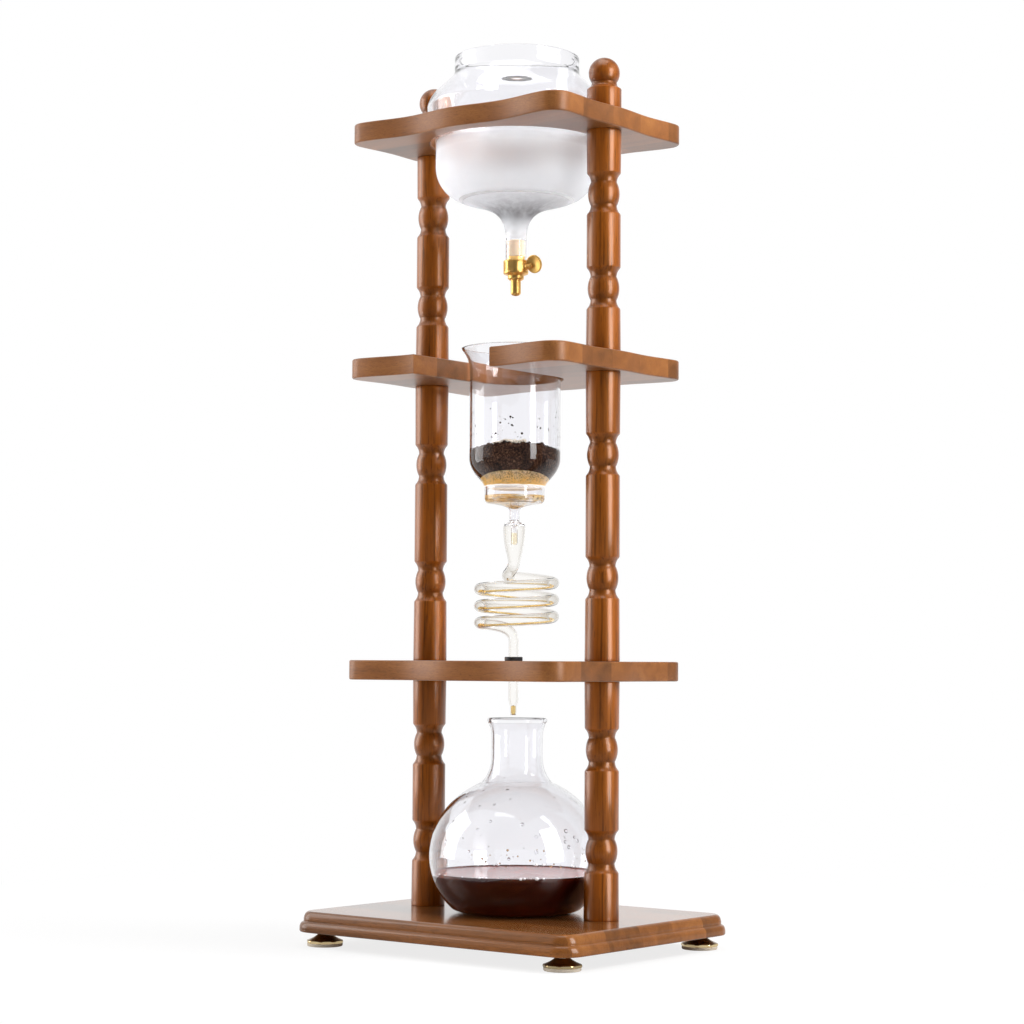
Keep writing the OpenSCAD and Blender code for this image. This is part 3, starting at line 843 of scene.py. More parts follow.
def shelf_outline(steps=40):
    """The waved outline of a shelf, anticlockwise from the middle of the front."""
    wx, wy = SHELF_W / 2 - SHELF_CORNER, SHELF_D / 2 - SHELF_CORNER

    def front(x):
        return -SHELF_D / 2 + FRONT_WAVE * (1 - cos(2 * pi * x / wx)) / 2

    def side(y):
        return SHELF_W / 2 - SIDE_WAVE * (1 - cos(2 * pi * y / wy)) / 2

    quarter = [(wx * i / steps, front(wx * i / steps)) for i in range(steps)]
    quarter += arc((wx, -wy), SHELF_CORNER, -90, 0, 16)
    quarter += [(side(y), y) for y in (-wy * (1 - i / steps) for i in range(1, steps))]
    half = quarter + [(side(0), 0)] + [(x, -y) for x, y in reversed(quarter)]
    return half + [(-x, y) for x, y in reversed(half[1:-1])]


def slotted(outline, r):
    """The outline with a round-ended slot cut in from the front."""
    keep = [p for p in outline if not (abs(p[0]) < r and p[1] < 0)]
    first = next(i for i, p in enumerate(keep) if p[0] > 0 and p[1] < -60)
    keep = keep[first:] + keep[:first]
    wx = SHELF_W / 2 - SHELF_CORNER
    lip = -SHELF_D / 2 + FRONT_WAVE * (1 - cos(2 * pi * r / wx)) / 2
    steps = [lip * (1 - i / 12) for i in range(13)]
    left = [(-r, y) for y in steps]
    bow = arc((0, 0), r, 180, 0, 48)[1:-1]
    right = [(r, y) for y in reversed(steps)]
    return keep + left + bow + right


def clockwise_circle(r, n=96):
    """The outline of a round hole."""
    return [(r * cos(2 * pi * k / n), -r * sin(2 * pi * k / n)) for k in range(n)]


# ---------------------------------------------------------------- forms of the posts

POST_R = 16.7
NECK_R = POST_R - 4.2
BEAD_R = POST_R - 1.5
BEAD_HALF, COVE_HALF = 11.2, 19.4
BEAD_RATIO = 0.287


def bow(s, h):
    """Radius of the circle through a sagitta of s on half a chord of h."""
    return (s * s + h * h) / (2 * s)


def beads(z, r):
    """Neck, bead and neck round the height z, from the bottom up."""
    cove_h = COVE_HALF - BEAD_HALF
    cove = bow(r - 0.5 - NECK_R, cove_h)
    cove_a = math.degrees(asin(cove_h / cove))
    bead = bow(BEAD_R - NECK_R, BEAD_HALF)
    bead_a = math.degrees(asin(BEAD_HALF / bead))
    return (
        [(r, z - COVE_HALF - 1.2), (r - 0.35, z - COVE_HALF - 0.35)]
        + arc((NECK_R + cove, z - BEAD_HALF), cove, 180 + cove_a, 182, 10)
        + arc((BEAD_R - bead, z), bead, -bead_a, bead_a, 28)
        + arc((NECK_R + cove, z + BEAD_HALF), cove, 178, 180 - cove_a, 10)
        + [(r - 0.35, z + COVE_HALF + 0.35), (r, z + COVE_HALF + 1.2)]
    )


def post_profile(low, h):
    """A post of height h, with a bead between coves near each end."""
    mid = POST_R - 0.4
    pts = [(0, 0), (POST_R - 0.7, 0), (POST_R - 0.15, 0.25), (POST_R, 0.8), (POST_R, 3)]
    pts += beads(BEAD_RATIO * h, mid) + beads((1 - BEAD_RATIO) * h, mid)
    pts += [(POST_R, h - 3), (POST_R, h - 0.8), (POST_R - 0.15, h - 0.25), (POST_R - 0.7, h)]
    pts += [(0, h)]
    return [(r, low + z) for r, z in pts]


def finial_profile(low):
    """The short length of post above the top shelf, and its ball."""
    pts = [(0, 0), (POST_R - 0.7, 0), (POST_R - 0.15, 0.25), (POST_R, 0.8), (POST_R, 20.4),
           (POST_R - 0.25, 21.1), (POST_R - 0.8, 21.6)]
    pts += curve([(POST_R - 1.4, 22), (POST_R - 4, 23.4), (12.4, 25), (12.1, 27.4)], 10)
    pts += arc((0, 36.9), 15.0, -38, 90, 36)[:-1] + [(0, 51.9)]
    return [(r, low + z) for r, z in cleaned(pts)]


# ---------------------------------------------------------------- forms of the glass

GLOBE_R, BOWL_R, MOUTH_R, GLOBE_WALL = 88.3, 79.6, 61.5, 2.6
HOLE_R = GLOBE_R - 3.5
SPOUT_R, SPOUT_WALL = 10.4, 1.3
SPOUT_END = Z3 - 134


def globe_outline(e):
    """The globe from the mouth down, moved in by e."""
    r, b, m = GLOBE_R - e, BOWL_R - e, MOUTH_R - e
    s = SPOUT_R - min(e, SPOUT_WALL)
    lip = arc((m - 1.4, Z3 + 65.9), 1.4, 100, 0, 6)
    ring = [(m, Z3 + 62.9), (m - 0.15, Z3 + 61.8), (m - 0.2, Z3 + 61.2), (m - 0.1, Z3 + 60.6),
            (m + 0.1, Z3 + 59.6), (m + 0.2, Z3 + 58.6), (m + 0.2, Z3 + 57.2), (m + 0.1, Z3 + 56)]
    if e:
        lip = [(m - 0.4, Z3 + 67.3), (m, Z3 + 66.2)]
        ring = [(m, Z3 + 62), (m, Z3 + 58), (m + 0.2, Z3 + 56)]
    return (
        lip + ring
        + curve([(m + 0.3, Z3 + 52), (m + 1.5, Z3 + 44), (r - 2.3, Z3 + 33 - e), (r, Z3 + 17)], 28)
        + curve([(r, Z3 + 16), (r, Z3 + 5), (HOLE_R + 0.6 - e, Z3 + 2.5), (b + 1.6, Z3 - 6)], 20)
        + curve([(b, Z3 - 14), (b, Z3 - 20), (b, Z3 - 30), (b, Z3 - 42)], 6)
        + arc((b - 34, Z3 - 42 - 0.4 * e), 34, -4, -74, 20)
        + curve([(b - 28, Z3 - 76 + e), (22 - e, Z3 - 83.5 + e), (s, Z3 - 88), (s, Z3 - 114)], 26)
        + [(s, SPOUT_END + 0.4), (s - 0.2, SPOUT_END)]
    )


CHAMBER_R, CHAMBER_WALL, SEAT_R = 44.7, 2.2, 29.4
CAP_R, CAP_Z, DRIP_R = 10.2, Z2 - 162.6, 3.1


def chamber_outline(e):
    """The brewing chamber from the rim down, moved in by e."""
    r, s = CHAMBER_R - e, SEAT_R - e
    stem = 4.9 - min(e, 1.2)
    return (
        [(r + 7.6, Z2 + 11.6), (r + 8.1, Z2 + 11.3)]
        + curve([(r + 7.6, Z2 + 9.9), (r + 3, Z2 + 3), (r, Z2 - 1), (r, Z2 - 12)], 20)
        + [(r, Z2 - 50), (r, Z2 - 92)]
        + curve([(r, Z2 - 96), (r, Z2 - 112), (s, Z2 - 119 + e), (s, Z2 - 126)], 24)
        + [(s, Z2 - 131.5)]
        + arc((s - 5, Z2 - 136 + e), 5, 0, -70, 10)
        + curve([(s - 9, Z2 - 141.2 + e), (8, Z2 - 144 + e), (stem, Z2 - 144),
                 (stem, Z2 - 150)], 16)
        + [(stem, Z2 - 156)]
    )


def chamber_profile():
    """The chamber with the cap under its stem and the drip tube inside the cap."""
    z, r = CAP_Z, DRIP_R
    cap = curve([(4.9, z + 5.6), (5, z + 3), (CAP_R, z + 3.4), (CAP_R, z + 0.5)], 14)
    tube = [(CAP_R - 0.4, z), (r + 0.3, z), (r, z - 0.4), (r, z - 17), (r - 0.5, z - 18.5),
            (r - 1.1, z - 18.5), (r - 1.1, z + 2)]
    inside = list(reversed(chamber_outline(CHAMBER_WALL)))
    return cleaned(chamber_outline(0) + cap + tube + inside)


FLASK_X, FLASK_Y = 3.0, 2.5
FLASK_R, FLASK_WALL, FLASK_NECK = 85.0, 2.4, 25.1
FLASK_MID, FLASK_UP, FLASK_DOWN, FLASK_H = BASE_TOP + 54, 78.0, 74.0, 187.5
SHOULDER = math.degrees(acos((FLASK_NECK + 5) / FLASK_R))


def flask_outline(e):
    """The flask from the rim down, moved in by e."""
    r, n, top, foot = FLASK_R - e, FLASK_NECK - e, BASE_TOP + FLASK_H, BASE_TOP + e
    lip = [(n + 2.6, top), (n + 3.7, top - 0.3), (n + 4.2, top - 1.2), (n + 4.2, top - 2.6),
           (n + 3.8, top - 3.6)]
    if e:
        lip = [(n + 2.9, top - 0.4), (n + 3.6, top - 1.5), (n + 3.9, top - 3)]

    def at(a, height):
        return (r * cos(radians(a)), FLASK_MID + (height - e) * sin(radians(a)))

    return (
        lip
        + curve([(n + 3.3, top - 4.4), (n + 1.4, top - 8), (n, top - 12), (n, top - 18)], 12)
        + curve([(n, FLASK_MID + 97), (n, FLASK_MID + 86), (n + 2.4, FLASK_MID + 79.5 - e),
                 at(SHOULDER - 3, FLASK_UP)], 14)
        + [at(SHOULDER - 3 * i, FLASK_UP) for i in range(2, int(SHOULDER / 3) + 1)]
        + [at(-2.5 * i, FLASK_DOWN) for i in range(16)]
        + curve([at(-42, FLASK_DOWN), (r * 0.72, foot + 2.5), (52 - e, foot), (46 - e, foot)], 14)
        + [(40, foot), (30, foot + 0.8), (20, foot + 2), (0, foot + 3)]
    )


COIL_R, TUBE_R, TUBE_WALL, LEG_R = 36.0, 5.6, 1.3, 4.95
COIL_OFF, COIL_TILT = 2.5, (1.2, 0.8)
COIL_PITCH, COIL_YAW, TURNS = 16.4, 36.0, 2.75
MOUTH_Z = CAP_Z - 0.3
HELIX_TOP = MOUTH_Z - 50.4
HELIX_LOW = HELIX_TOP - TURNS * COIL_PITCH
TIP_Z = Z1_LOW - 33.5


def helix(a):
    """Point of the coil after a degrees, clockwise from the back."""
    across, back = sin(radians(a)), cos(radians(a))
    height = HELIX_TOP - COIL_PITCH * a / 360 + COIL_TILT[0] * back - COIL_TILT[1] * across
    return (COIL_OFF + COIL_R * across, COIL_R * back, height)


def coil_path(step=2.5):
    """Each entry is a point of the coil's centre line and its radius there."""
    mouth = ((0, 10.5), (0.5, 10.75), (2, 10.9), (5, 10.85), (9, 10.6), (14, 10.1), (19, 9.3),
             (24, 8.3), (28, 7.3), (32, 6.4), (35.2, 5.85))
    path = [((0, 0, MOUTH_Z - z), r) for z, r in mouth]
    x, y, z = helix(0)
    entry = curve([(0, 0, MOUTH_Z - 36.5), (-4, 0, MOUTH_Z - 50), (x - 18, y, z + 1.8),
                   (x, y, z)], 26)
    path += [(p, TUBE_R) for p in entry]
    n = int(TURNS * 360 / step)
    path += [(helix(i * step), TUBE_R) for i in range(1, n + 1)]
    x, y, z = helix(360 * TURNS)
    out = curve([(x, y, z), (x, y + 20, z - 2), (0, 0, HELIX_LOW + 1.5),
                 (0, 0, HELIX_LOW - 17)], 22)
    path += [(p, TUBE_R + (LEG_R - TUBE_R) * i / 22) for i, p in enumerate(out) if i]
    tip = ((17, LEG_R), (15, LEG_R - 0.1), (13, LEG_R - 0.6), (11, 3.9), (9, 3.3), (5, 3.1),
           (2, 3.0), (0, 2.5))
    path.append(((0, 0, HELIX_LOW - 22), LEG_R))
    return path + [((0, 0, TIP_Z + z), r) for z, r in tip]


# ---------------------------------------------------------------- geometry nodes


class Tree:
    """A Geometry Nodes tree with named inputs, built in the script."""

    KINDS = {
        float: "NodeSocketFloat",
        int: "NodeSocketInt",
        bpy.types.Material: "NodeSocketMaterial",
    }

    def __init__(self, name, **inputs):
        self.tree = bpy.data.node_groups.new(name, "GeometryNodeTree")
        face = self.tree.interface
        face.new_socket(name="Geometry", in_out="INPUT", socket_type="NodeSocketGeometry")
        face.new_socket(name="Geometry", in_out="OUTPUT", socket_type="NodeSocketGeometry")
        for key, kind in inputs.items():
            face.new_socket(name=key, in_out="INPUT", socket_type=self.KINDS[kind])
        self.start = self.tree.nodes.new("NodeGroupInput")
        self.end = self.tree.nodes.new("NodeGroupOutput")

    def given(self, name):
        return self.start.outputs[name]

    def node(self, kind, settings=None, values=None):
        n = self.tree.nodes.new(kind)
        for key, value in (settings or {}).items():
            setattr(n, key, value)
        for key, value in (values or {}).items():
            many = value if isinstance(value, list) else [value]
            for v in many:
                if isinstance(v, bpy.types.NodeSocket):
                    self.tree.links.new(v, n.inputs[key])
                else:
                    n.inputs[key].default_value = v
        return n.outputs

    def finish(self, mesh):
        """Every tree ends in plain smooth faces of the given material."""
        mesh = self.node("GeometryNodeRealizeInstances", {}, {0: mesh})[0]
        values = {"Geometry": mesh, "Shade Smooth": True}
        mesh = self.node("GeometryNodeSetShadeSmooth", {}, values)[0]
        values = {"Geometry": mesh, "Material": self.given("Material")}
        mesh = self.node("GeometryNodeSetMaterial", {}, values)[0]
        self.tree.links.new(mesh, self.end.inputs[0])
        return self


def grown(name, mesh, tree, body, nodes=(), slot=None, **values):
    """Runs a tree on a mesh and keeps the result as a plain mesh."""
    obj = bpy.data.objects.new(name, mesh)
    bpy.context.scene.collection.objects.link(obj)
    grow = obj.modifiers.new("grow", "NODES")
    grow.node_group = tree.tree
    for item in tree.tree.interface.items_tree:
        if item.item_type == "SOCKET" and item.in_out == "INPUT" and item.name in values:
            grow[item.identifier] = values[item.name]
    bpy.context.view_layer.update()
    made = bpy.data.meshes.new_from_object(obj.evaluated_get(bpy.context.evaluated_depsgraph_get()))
    obj.modifiers.remove(grow)
    obj.data = made
    if not made.polygons:
        raise RuntimeError(f"{name} came out empty")
    return declare(obj, body, nodes)


def plain_mesh(name, verts, faces=(), edges=(), **attributes):
    """A mesh in metres that a tree starts from, with named values on its points."""
    mesh = bpy.data.meshes.new(name)
    mesh.from_pydata([(x * MM, y * MM, z * MM) for x, y, z in verts], edges, faces)
    for key, values in attributes.items():
        mesh.attributes.new(key, "FLOAT", "POINT").data.foreach_set("value", values)
    return mesh


def tube_tree():
    """A glass tube with a wall, along a line whose points carry the radius."""
    t = Tree("tube_along_line", Sides=int, Wall=float, Material=bpy.types.Material)
    line = t.node("GeometryNodeMeshToCurve", {}, {0: t.given("Geometry")})[0]
    radius = t.node("GeometryNodeInputNamedAttribute", {"data_type": "FLOAT"},
                    {"Name": "radius_here"})[0]
    line = t.node("GeometryNodeSetCurveRadius", {}, {"Curve": line, "Radius": radius})[0]
    ring = t.node("GeometryNodeCurvePrimitiveCircle", {},
                  {"Resolution": t.given("Sides"), "Radius": 1.0})[0]
    outer = t.node("GeometryNodeCurveToMesh", {},
                   {"Curve": line, "Profile Curve": ring, "Scale": radius})[0]
    inwards = t.node("ShaderNodeMath", {"operation": "MULTIPLY"}, {0: t.given("Wall"), 1: -1.0})[0]
    inner = t.node("GeometryNodeExtrudeMesh", {"mode": "FACES"},
                   {"Mesh": outer, "Offset Scale": inwards, "Individual": False})[0]
    inner = t.node("GeometryNodeFlipFaces", {}, {"Mesh": inner})[0]
    shell = t.node("GeometryNodeJoinGeometry", {}, {0: [outer, inner]})[0]
    shell = t.node("GeometryNodeMergeByDistance", {}, {"Geometry": shell, "Distance": 0.000002})[0]
    return t.finish(shell)


@once
def drop_tree():
    """Drops, bubbles or grains scattered over faces, most of them small."""
    t = Tree("scatter_drops", Density=float, Smallest=float, Largest=float, Flatness=float,
             Fineness=int, Seed=int, Material=bpy.types.Material)
    points, _, turn = t.node(
        "GeometryNodeDistributePointsOnFaces", {},
        {"Mesh": t.given("Geometry"), "Density": t.given("Density"), "Seed": t.given("Seed")})
    chance = t.node("FunctionNodeRandomValue", {"data_type": "FLOAT"},
                    {2: 0.0, 3: 1.0, "Seed": t.given("Seed")})[1]
    steep = t.node("ShaderNodeMath", {"operation": "POWER"}, {0: chance, 1: 2.6})[0]
    size = t.node("ShaderNodeMapRange", {},
                  {"Value": steep, "To Min": t.given("Smallest"), "To Max": t.given("Largest")})[0]
    high = t.node("ShaderNodeMath", {"operation": "MULTIPLY"}, {0: size, 1: t.given("Flatness")})[0]
    scale = t.node("ShaderNodeCombineXYZ", {}, {0: size, 1: size, 2: high})[0]
    ball = t.node("GeometryNodeMeshIcoSphere", {},
                  {"Radius": 1.0, "Subdivisions": t.given("Fineness")})[0]
    drops = t.node("GeometryNodeInstanceOnPoints", {},
                   {"Points": points, "Instance": ball, "Rotation": turn, "Scale": scale})[0]
    return t.finish(drops)


def scattered(name, part, body, density, sizes, flat, fineness, seed, material):
    """Drops, bubbles or grains grown over a part's faces: the sizes are the least and the most."""
    return grown(name, plain_mesh(name, *part), drop_tree(), body, Density=density,
                 Smallest=sizes[0], Largest=sizes[1], Flatness=flat, Fineness=fineness,
                 Seed=seed, Material=material)


# ---------------------------------------------------------------- pieces


def board_piece(name, part, material, slot):
    """A board that stands for the node of its own name."""
    verts, faces, flat = part
    piece(name, verts, faces, material, "stand", (name.replace("_wood", ""),), slot, flat=flat)


def facet(radius, count, turn=0.0):
    """Cuts a turned form back to flats at this distance from its axis."""
    def cut(r, a):
        step = 2 * pi / count
        off = (a - radians(turn)) % step
        return min(r, radius / cos(min(off, step - off)))
    return cut


def turned_flats(profile, cuts, sides=96, at=(0, 0), loop=False):
    """A turned form with flats: cuts maps the index of a profile point to its flats."""
    verts, faces = lathed(profile, sides, loop, at)
    i = 0
    out = []
    for n, (r, z) in enumerate(profile):
        count = 1 if r < 1e-6 else sides
        for k in range(count):
            x, y, h = verts[i + k]
            if count > 1 and n in cuts:
                a = 2 * pi * k / sides
                f = cuts[n](r, a)
                x, y = at[0] + f * cos(a), at[1] + f * sin(a)
            out.append((x, y, h))
        i += count
    return out, faces


class TOWER_OT_boards(Operator):
    """Make the moulded base board and the three waved shelves"""

    bl_idname = "tower.boards"
    bl_label = "Boards"

    def execute(self, context):
        easing = context.scene.tower_wood.easing / MM
        base = moulded_board(BASE_W, BASE_D, BASE_LOW, BASE_TOP - BASE_LOW)
        board_piece("base_board_wood", base, base_wood(), "base_wood")
        outline = shelf_outline()
        lower = plate(outline, Z1_LOW, Z1, easing, clockwise_circle(TUBE_HOLE_R, 48))
        board_piece("lower_shelf_wood", lower, shelf_wood(), "shelf_wood")
        middle = plate(slotted(outline, SLOT_R), Z2_LOW, Z2, easing)
        board_piece("middle_shelf_wood", middle, shelf_wood(), "shelf_wood")
        upper = plate(outline, Z3_LOW, Z3, easing, clockwise_circle(HOLE_R, 128))
        board_piece("top_shelf_wood", upper, shelf_wood(), "shelf_wood")
        return {"FINISHED"}


class TOWER_OT_posts(Operator):
    """Make the six turned posts and their ball finials"""

    bl_idname = "tower.posts"
    bl_label = "Posts"

    def execute(self, context):
        x = context.scene.tower_wood.post_gap / MM / 2
        bays = {"lower": (BASE_TOP, Z1_LOW), "middle": (Z1, Z2_LOW), "upper": (Z2, Z3_LOW)}
        for side, name in ((-1, "left"), (1, "right")):
            for bay, (low, high) in bays.items():
                part = lathed(post_profile(low, high - low), 96, at=(side * x, 0))
                piece(f"{bay}_post_{name}_wood", *part, post_wood(), "stand",
                      (f"{bay}_post_{name}",), "post_wood", 28)
            part = lathed(finial_profile(Z3), 96, at=(side * x, 0))
            piece(f"finial_{name}_wood", *part, post_wood(), "stand",
                  (f"finial_{name}",), "post_wood", 28)
        return {"FINISHED"}


FOOT_X, FOOT_Y, FOOT_R, PAD_H = 144.5, 109.5, 18.0, 3.0


class TOWER_OT_feet(Operator):
    """Make the bronzed levelling feet, with flats round the rim, and their pads"""

    bl_idname = "tower.feet"
    bl_label = "Feet"

    def execute(self, context):
        r, low, top = FOOT_R, PAD_H, BASE_LOW - 2
        cone = [(0, low + 2.3), (r - 0.3, low + 2.3)]
        cone += curve([(r - 0.6, low + 2.6), (r - 5, low + 4), (8.4, top - 1.8),
                       (7.2, top - 0.3)], 14)
        cone += [(6.9, top), (0, top)]
        band = [(0, low), (r - 0.8, low), (r - 0.1, low + 0.6), (r, low + 1.0), (r, low + 1.9),
                (r - 0.3, low + 2.3), (0, low + 2.3)]
        pad = [(0, 0), (r - 1.4, 0), (r - 0.8, 0.6), (r - 0.8, low - 0.2), (r - 1.0, low), (0, low)]
        cuts = {i: facet(r - 0.9, 8, 4.0) for i in range(1, 6)}
        for x, side in ((-1, "left"), (1, "right")):
            for y, end in ((-1, "front"), (1, "back")):
                spot = (x * FOOT_X, y * FOOT_Y)
                which = f"{end}_{side}"
                body = f"screw_foot_{which}"
                piece(f"foot_cone_{which}", *turned_flats(cone, cuts, 96, spot), foot_bronze(),
                      body, (f"foot_{which}",), "foot_brass", 20)
                piece(f"foot_rim_{which}", *turned_flats(band, cuts, 96, spot), foot_rim(),
                      body, (), "foot_brass", 20)
                piece(f"foot_pad_felt_{which}", *lathed(pad, 72, at=spot), felt(), body,
                      (f"foot_pad_{which}",), "foot_felt", 30)
        for node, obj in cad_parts.items():
            if node.startswith("foot_stem") or node.endswith(("_bolts", "_studs")):
                repaint(obj, steel())
        repaint(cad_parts["foot_inserts"], valve_brass())
        return {"FINISHED"}


def repaint(obj, material):
    """A CAD solid keeps its shape and takes a better material."""
    for s in obj.material_slots:
        s.link = "OBJECT"
        s.material = material
    if not obj.material_slots:
        obj.data.materials.append(material)


class TOWER_OT_globe(Operator):
    """Make the water globe, misted below the shelf"""

    bl_idname = "tower.globe"
    bl_label = "Water globe"

    def execute(self, context):
        part = lathed(wall(globe_outline, GLOBE_WALL), 160, loop=True)
        piece("globe_glass", *part, misted_glass(), "water_globe", ("globe",), "clear_glass", 40)
        return {"FINISHED"}


COLLAR_R = 12.3
KEY_Z, KEY_LEAN = Z3 - 141, 15


class TOWER_OT_valve(Operator):
    """Make the silicone stopper, the brass drip valve and its key"""

    bl_idname = "tower.valve"
    bl_label = "Drip valve"

    def execute(self, context):
        top, low = SPOUT_END - 0.3, SPOUT_END - 13.9
        plug = SPOUT_R - SPOUT_WALL - 0.1
        stopper = [(0, SPOUT_END + 3.5), (plug - 0.3, SPOUT_END + 3.5), (plug, SPOUT_END + 3.9),
                   (plug, SPOUT_END + 18.7), (plug - 0.8, SPOUT_END + 19.5), (0, SPOUT_END + 19.5)]
        piece("stopper_silicone", *lathed(stopper, 64), silicone(), "water_globe",
              ("valve_stopper",), "silicone")
        r = COLLAR_R
        body = [(0, SPOUT_END + 3.4), (plug - 0.2, SPOUT_END + 3.4), (plug - 0.1, SPOUT_END + 3.0),
                (plug - 0.1, top), (r - 0.9, top), (r - 0.35, top - 0.15), (r, top - 0.7),
                (r, top - 1.8), (r, top - 2.2), (r, low + 2.6), (r, low + 2.2), (r, low + 0.9),
                (r - 0.3, low + 0.35), (r - 1, low), (8.7, low - 0.8), (8.1, low - 1.2),
                (7.9, low - 1.6), (7.9, low - 4.4), (7.6, low - 4.8), (6.6, low - 5.6),
                (0, low - 5.6)]
        cuts = {i: facet(r - 0.45, 8, 14.0) for i in (8, 9)}
        piece("valve_body_brass", *turned_flats(body, cuts, 128), valve_brass(), "water_globe",
              ("valve_body",), "valve_brass", 22)
        n = low - 5.6
        nozzle = [(1.8, n), (5, n), (5, n - 1.0), (4.8, n - 1.3), (4.8, n - 1.9), (5, n - 2.2),
                  (5, n - 12.4)]
        nozzle += arc((2, n - 12.4), 3, 0, -62, 8) + [(2.2, n - 15.4), (1.8, n - 15.2), (1.8, n)]
        piece("valve_nozzle_brass", *lathed(nozzle, 64), valve_brass(), "water_globe",
              ("valve_nozzle",), "valve_brass", 30)
        self.make_key()
        return {"FINISHED"}

    def make_key(self):
        """The key along X, with a flat on its shank that carries the thumb paddle."""
        lean = Matrix.Rotation(radians(KEY_LEAN), 4, "X")
        across = Matrix.Rotation(radians(90), 4, "Y")
        lift = Matrix.Translation((0, 0, KEY_Z))
        stem = [(0, -7.7), (3.45, -7.7), (3.45, 13.5), (3.1, 13.9), (2.3, 14.2), (2.3, 17.8)]
        stem += arc((0, 17.8), 2.3, 12, 90, 8)[:-1] + [(0, 20.1)]
        verts, faces = moved(lathed([(r, z) for r, z in stem], 48), across)
        verts = [(x, min(y, 1.05) if x > 11.3 else y, z) for x, y, z in verts]
        part = moved((verts, faces), lift @ lean)
        piece("key_stem_brass", *part, valve_brass(), "valve_key", ("key_stem",), "valve_brass", 30)
        disc = [(0, 0), (8.0, 0)] + arc((8.3, 0.7), 0.7, -90, 0, 5) + arc((8.3, 1.5), 0.7, 0, 90, 5)
        disc += [(7.6, 2.2), (7.0, 1.9), (0, 1.75)]
        face = Matrix.Translation((21.4, 3.3, 1.2)) @ Matrix.Rotation(radians(90), 4, "X")
        part = moved(lathed(disc, 72), lift @ lean @ face)
        piece("key_paddle_brass", *part, valve_brass(), "valve_key",
              ("key_paddle",), "valve_brass", 30)
        repaint(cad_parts["key_seal"], black_rubber())


VIEW_SIDE = -52.0  # direction from the axis to the camera, in degrees from +X
GROUNDS_TOP, PUCK_TOP, PUCK_LOW = Z2 - 89.5, Z2 - 116.6, Z2 - 124.2
HEAP_R = 42  # where the bed of grounds meets the glass


def heap(a, r):
    """Height of the grounds above their mean, with a rise towards the front."""
    near = max(0.0, cos(radians(a - VIEW_SIDE)))
    spot = Vector(polar(r, a, 3.0))
    rough = sum(noise.noise(spot * scale) * h for scale, h in ((0.22, 1.8), (0.6, 2.4), (1.4, 1.4)))
    return 5.0 * near * near * min(1.0, r / 30) + 2.5 * (1 - r / 43) + rough


def puck_top(a):
    """Height of the filter's top edge, which sits tilted in the neck."""
    near = max(0.0, cos(radians(a - VIEW_SIDE)))
    return PUCK_TOP + 6.4 * near ** 1.4


def inner_radius(z):
    """Radius of the chamber's inside at a height."""
    pts = chamber_outline(CHAMBER_WALL)
    for (r0, z0), (r1, z1) in zip(pts, pts[1:]):
        if z1 <= z <= z0:
            return r0 + (r1 - r0) * (z0 - z) / max(z0 - z1, 1e-6)
    raise ValueError(f"no wall at {z}")


def filling(low, high, gap, sides=144, rows=14, rings=16):
    """A filling of the chamber between two heights that change with the angle."""
    verts, faces = [(0, 0, low(0, 0))], []
    step = 360 / sides
    for i in range(rows + 1):
        for k in range(sides):
            a = k * step
            z0, z1 = low(a, 1), high(a, HEAP_R)
            z = z0 + (z1 - z0) * i / rows
            verts.append(polar(inner_radius(z) + gap, a, z))
    for i in range(1, rings):
        for k in range(sides):
            a = k * step
            r = (inner_radius(high(a, HEAP_R)) + gap) * (1 - i / rings)
            verts.append(polar(r, a, high(a, r)))
    verts.append((0, 0, high(0, 0)))
    faces += bands(rows + rings, sides, 1)
    last = len(verts) - 1 - sides
    for k in range(sides):
        faces.append((last + k, last + (k + 1) % sides, len(verts) - 1))
    for k in range(sides):
        faces.append((0, 1 + (k + 1) % sides, 1 + k))
    return verts, faces


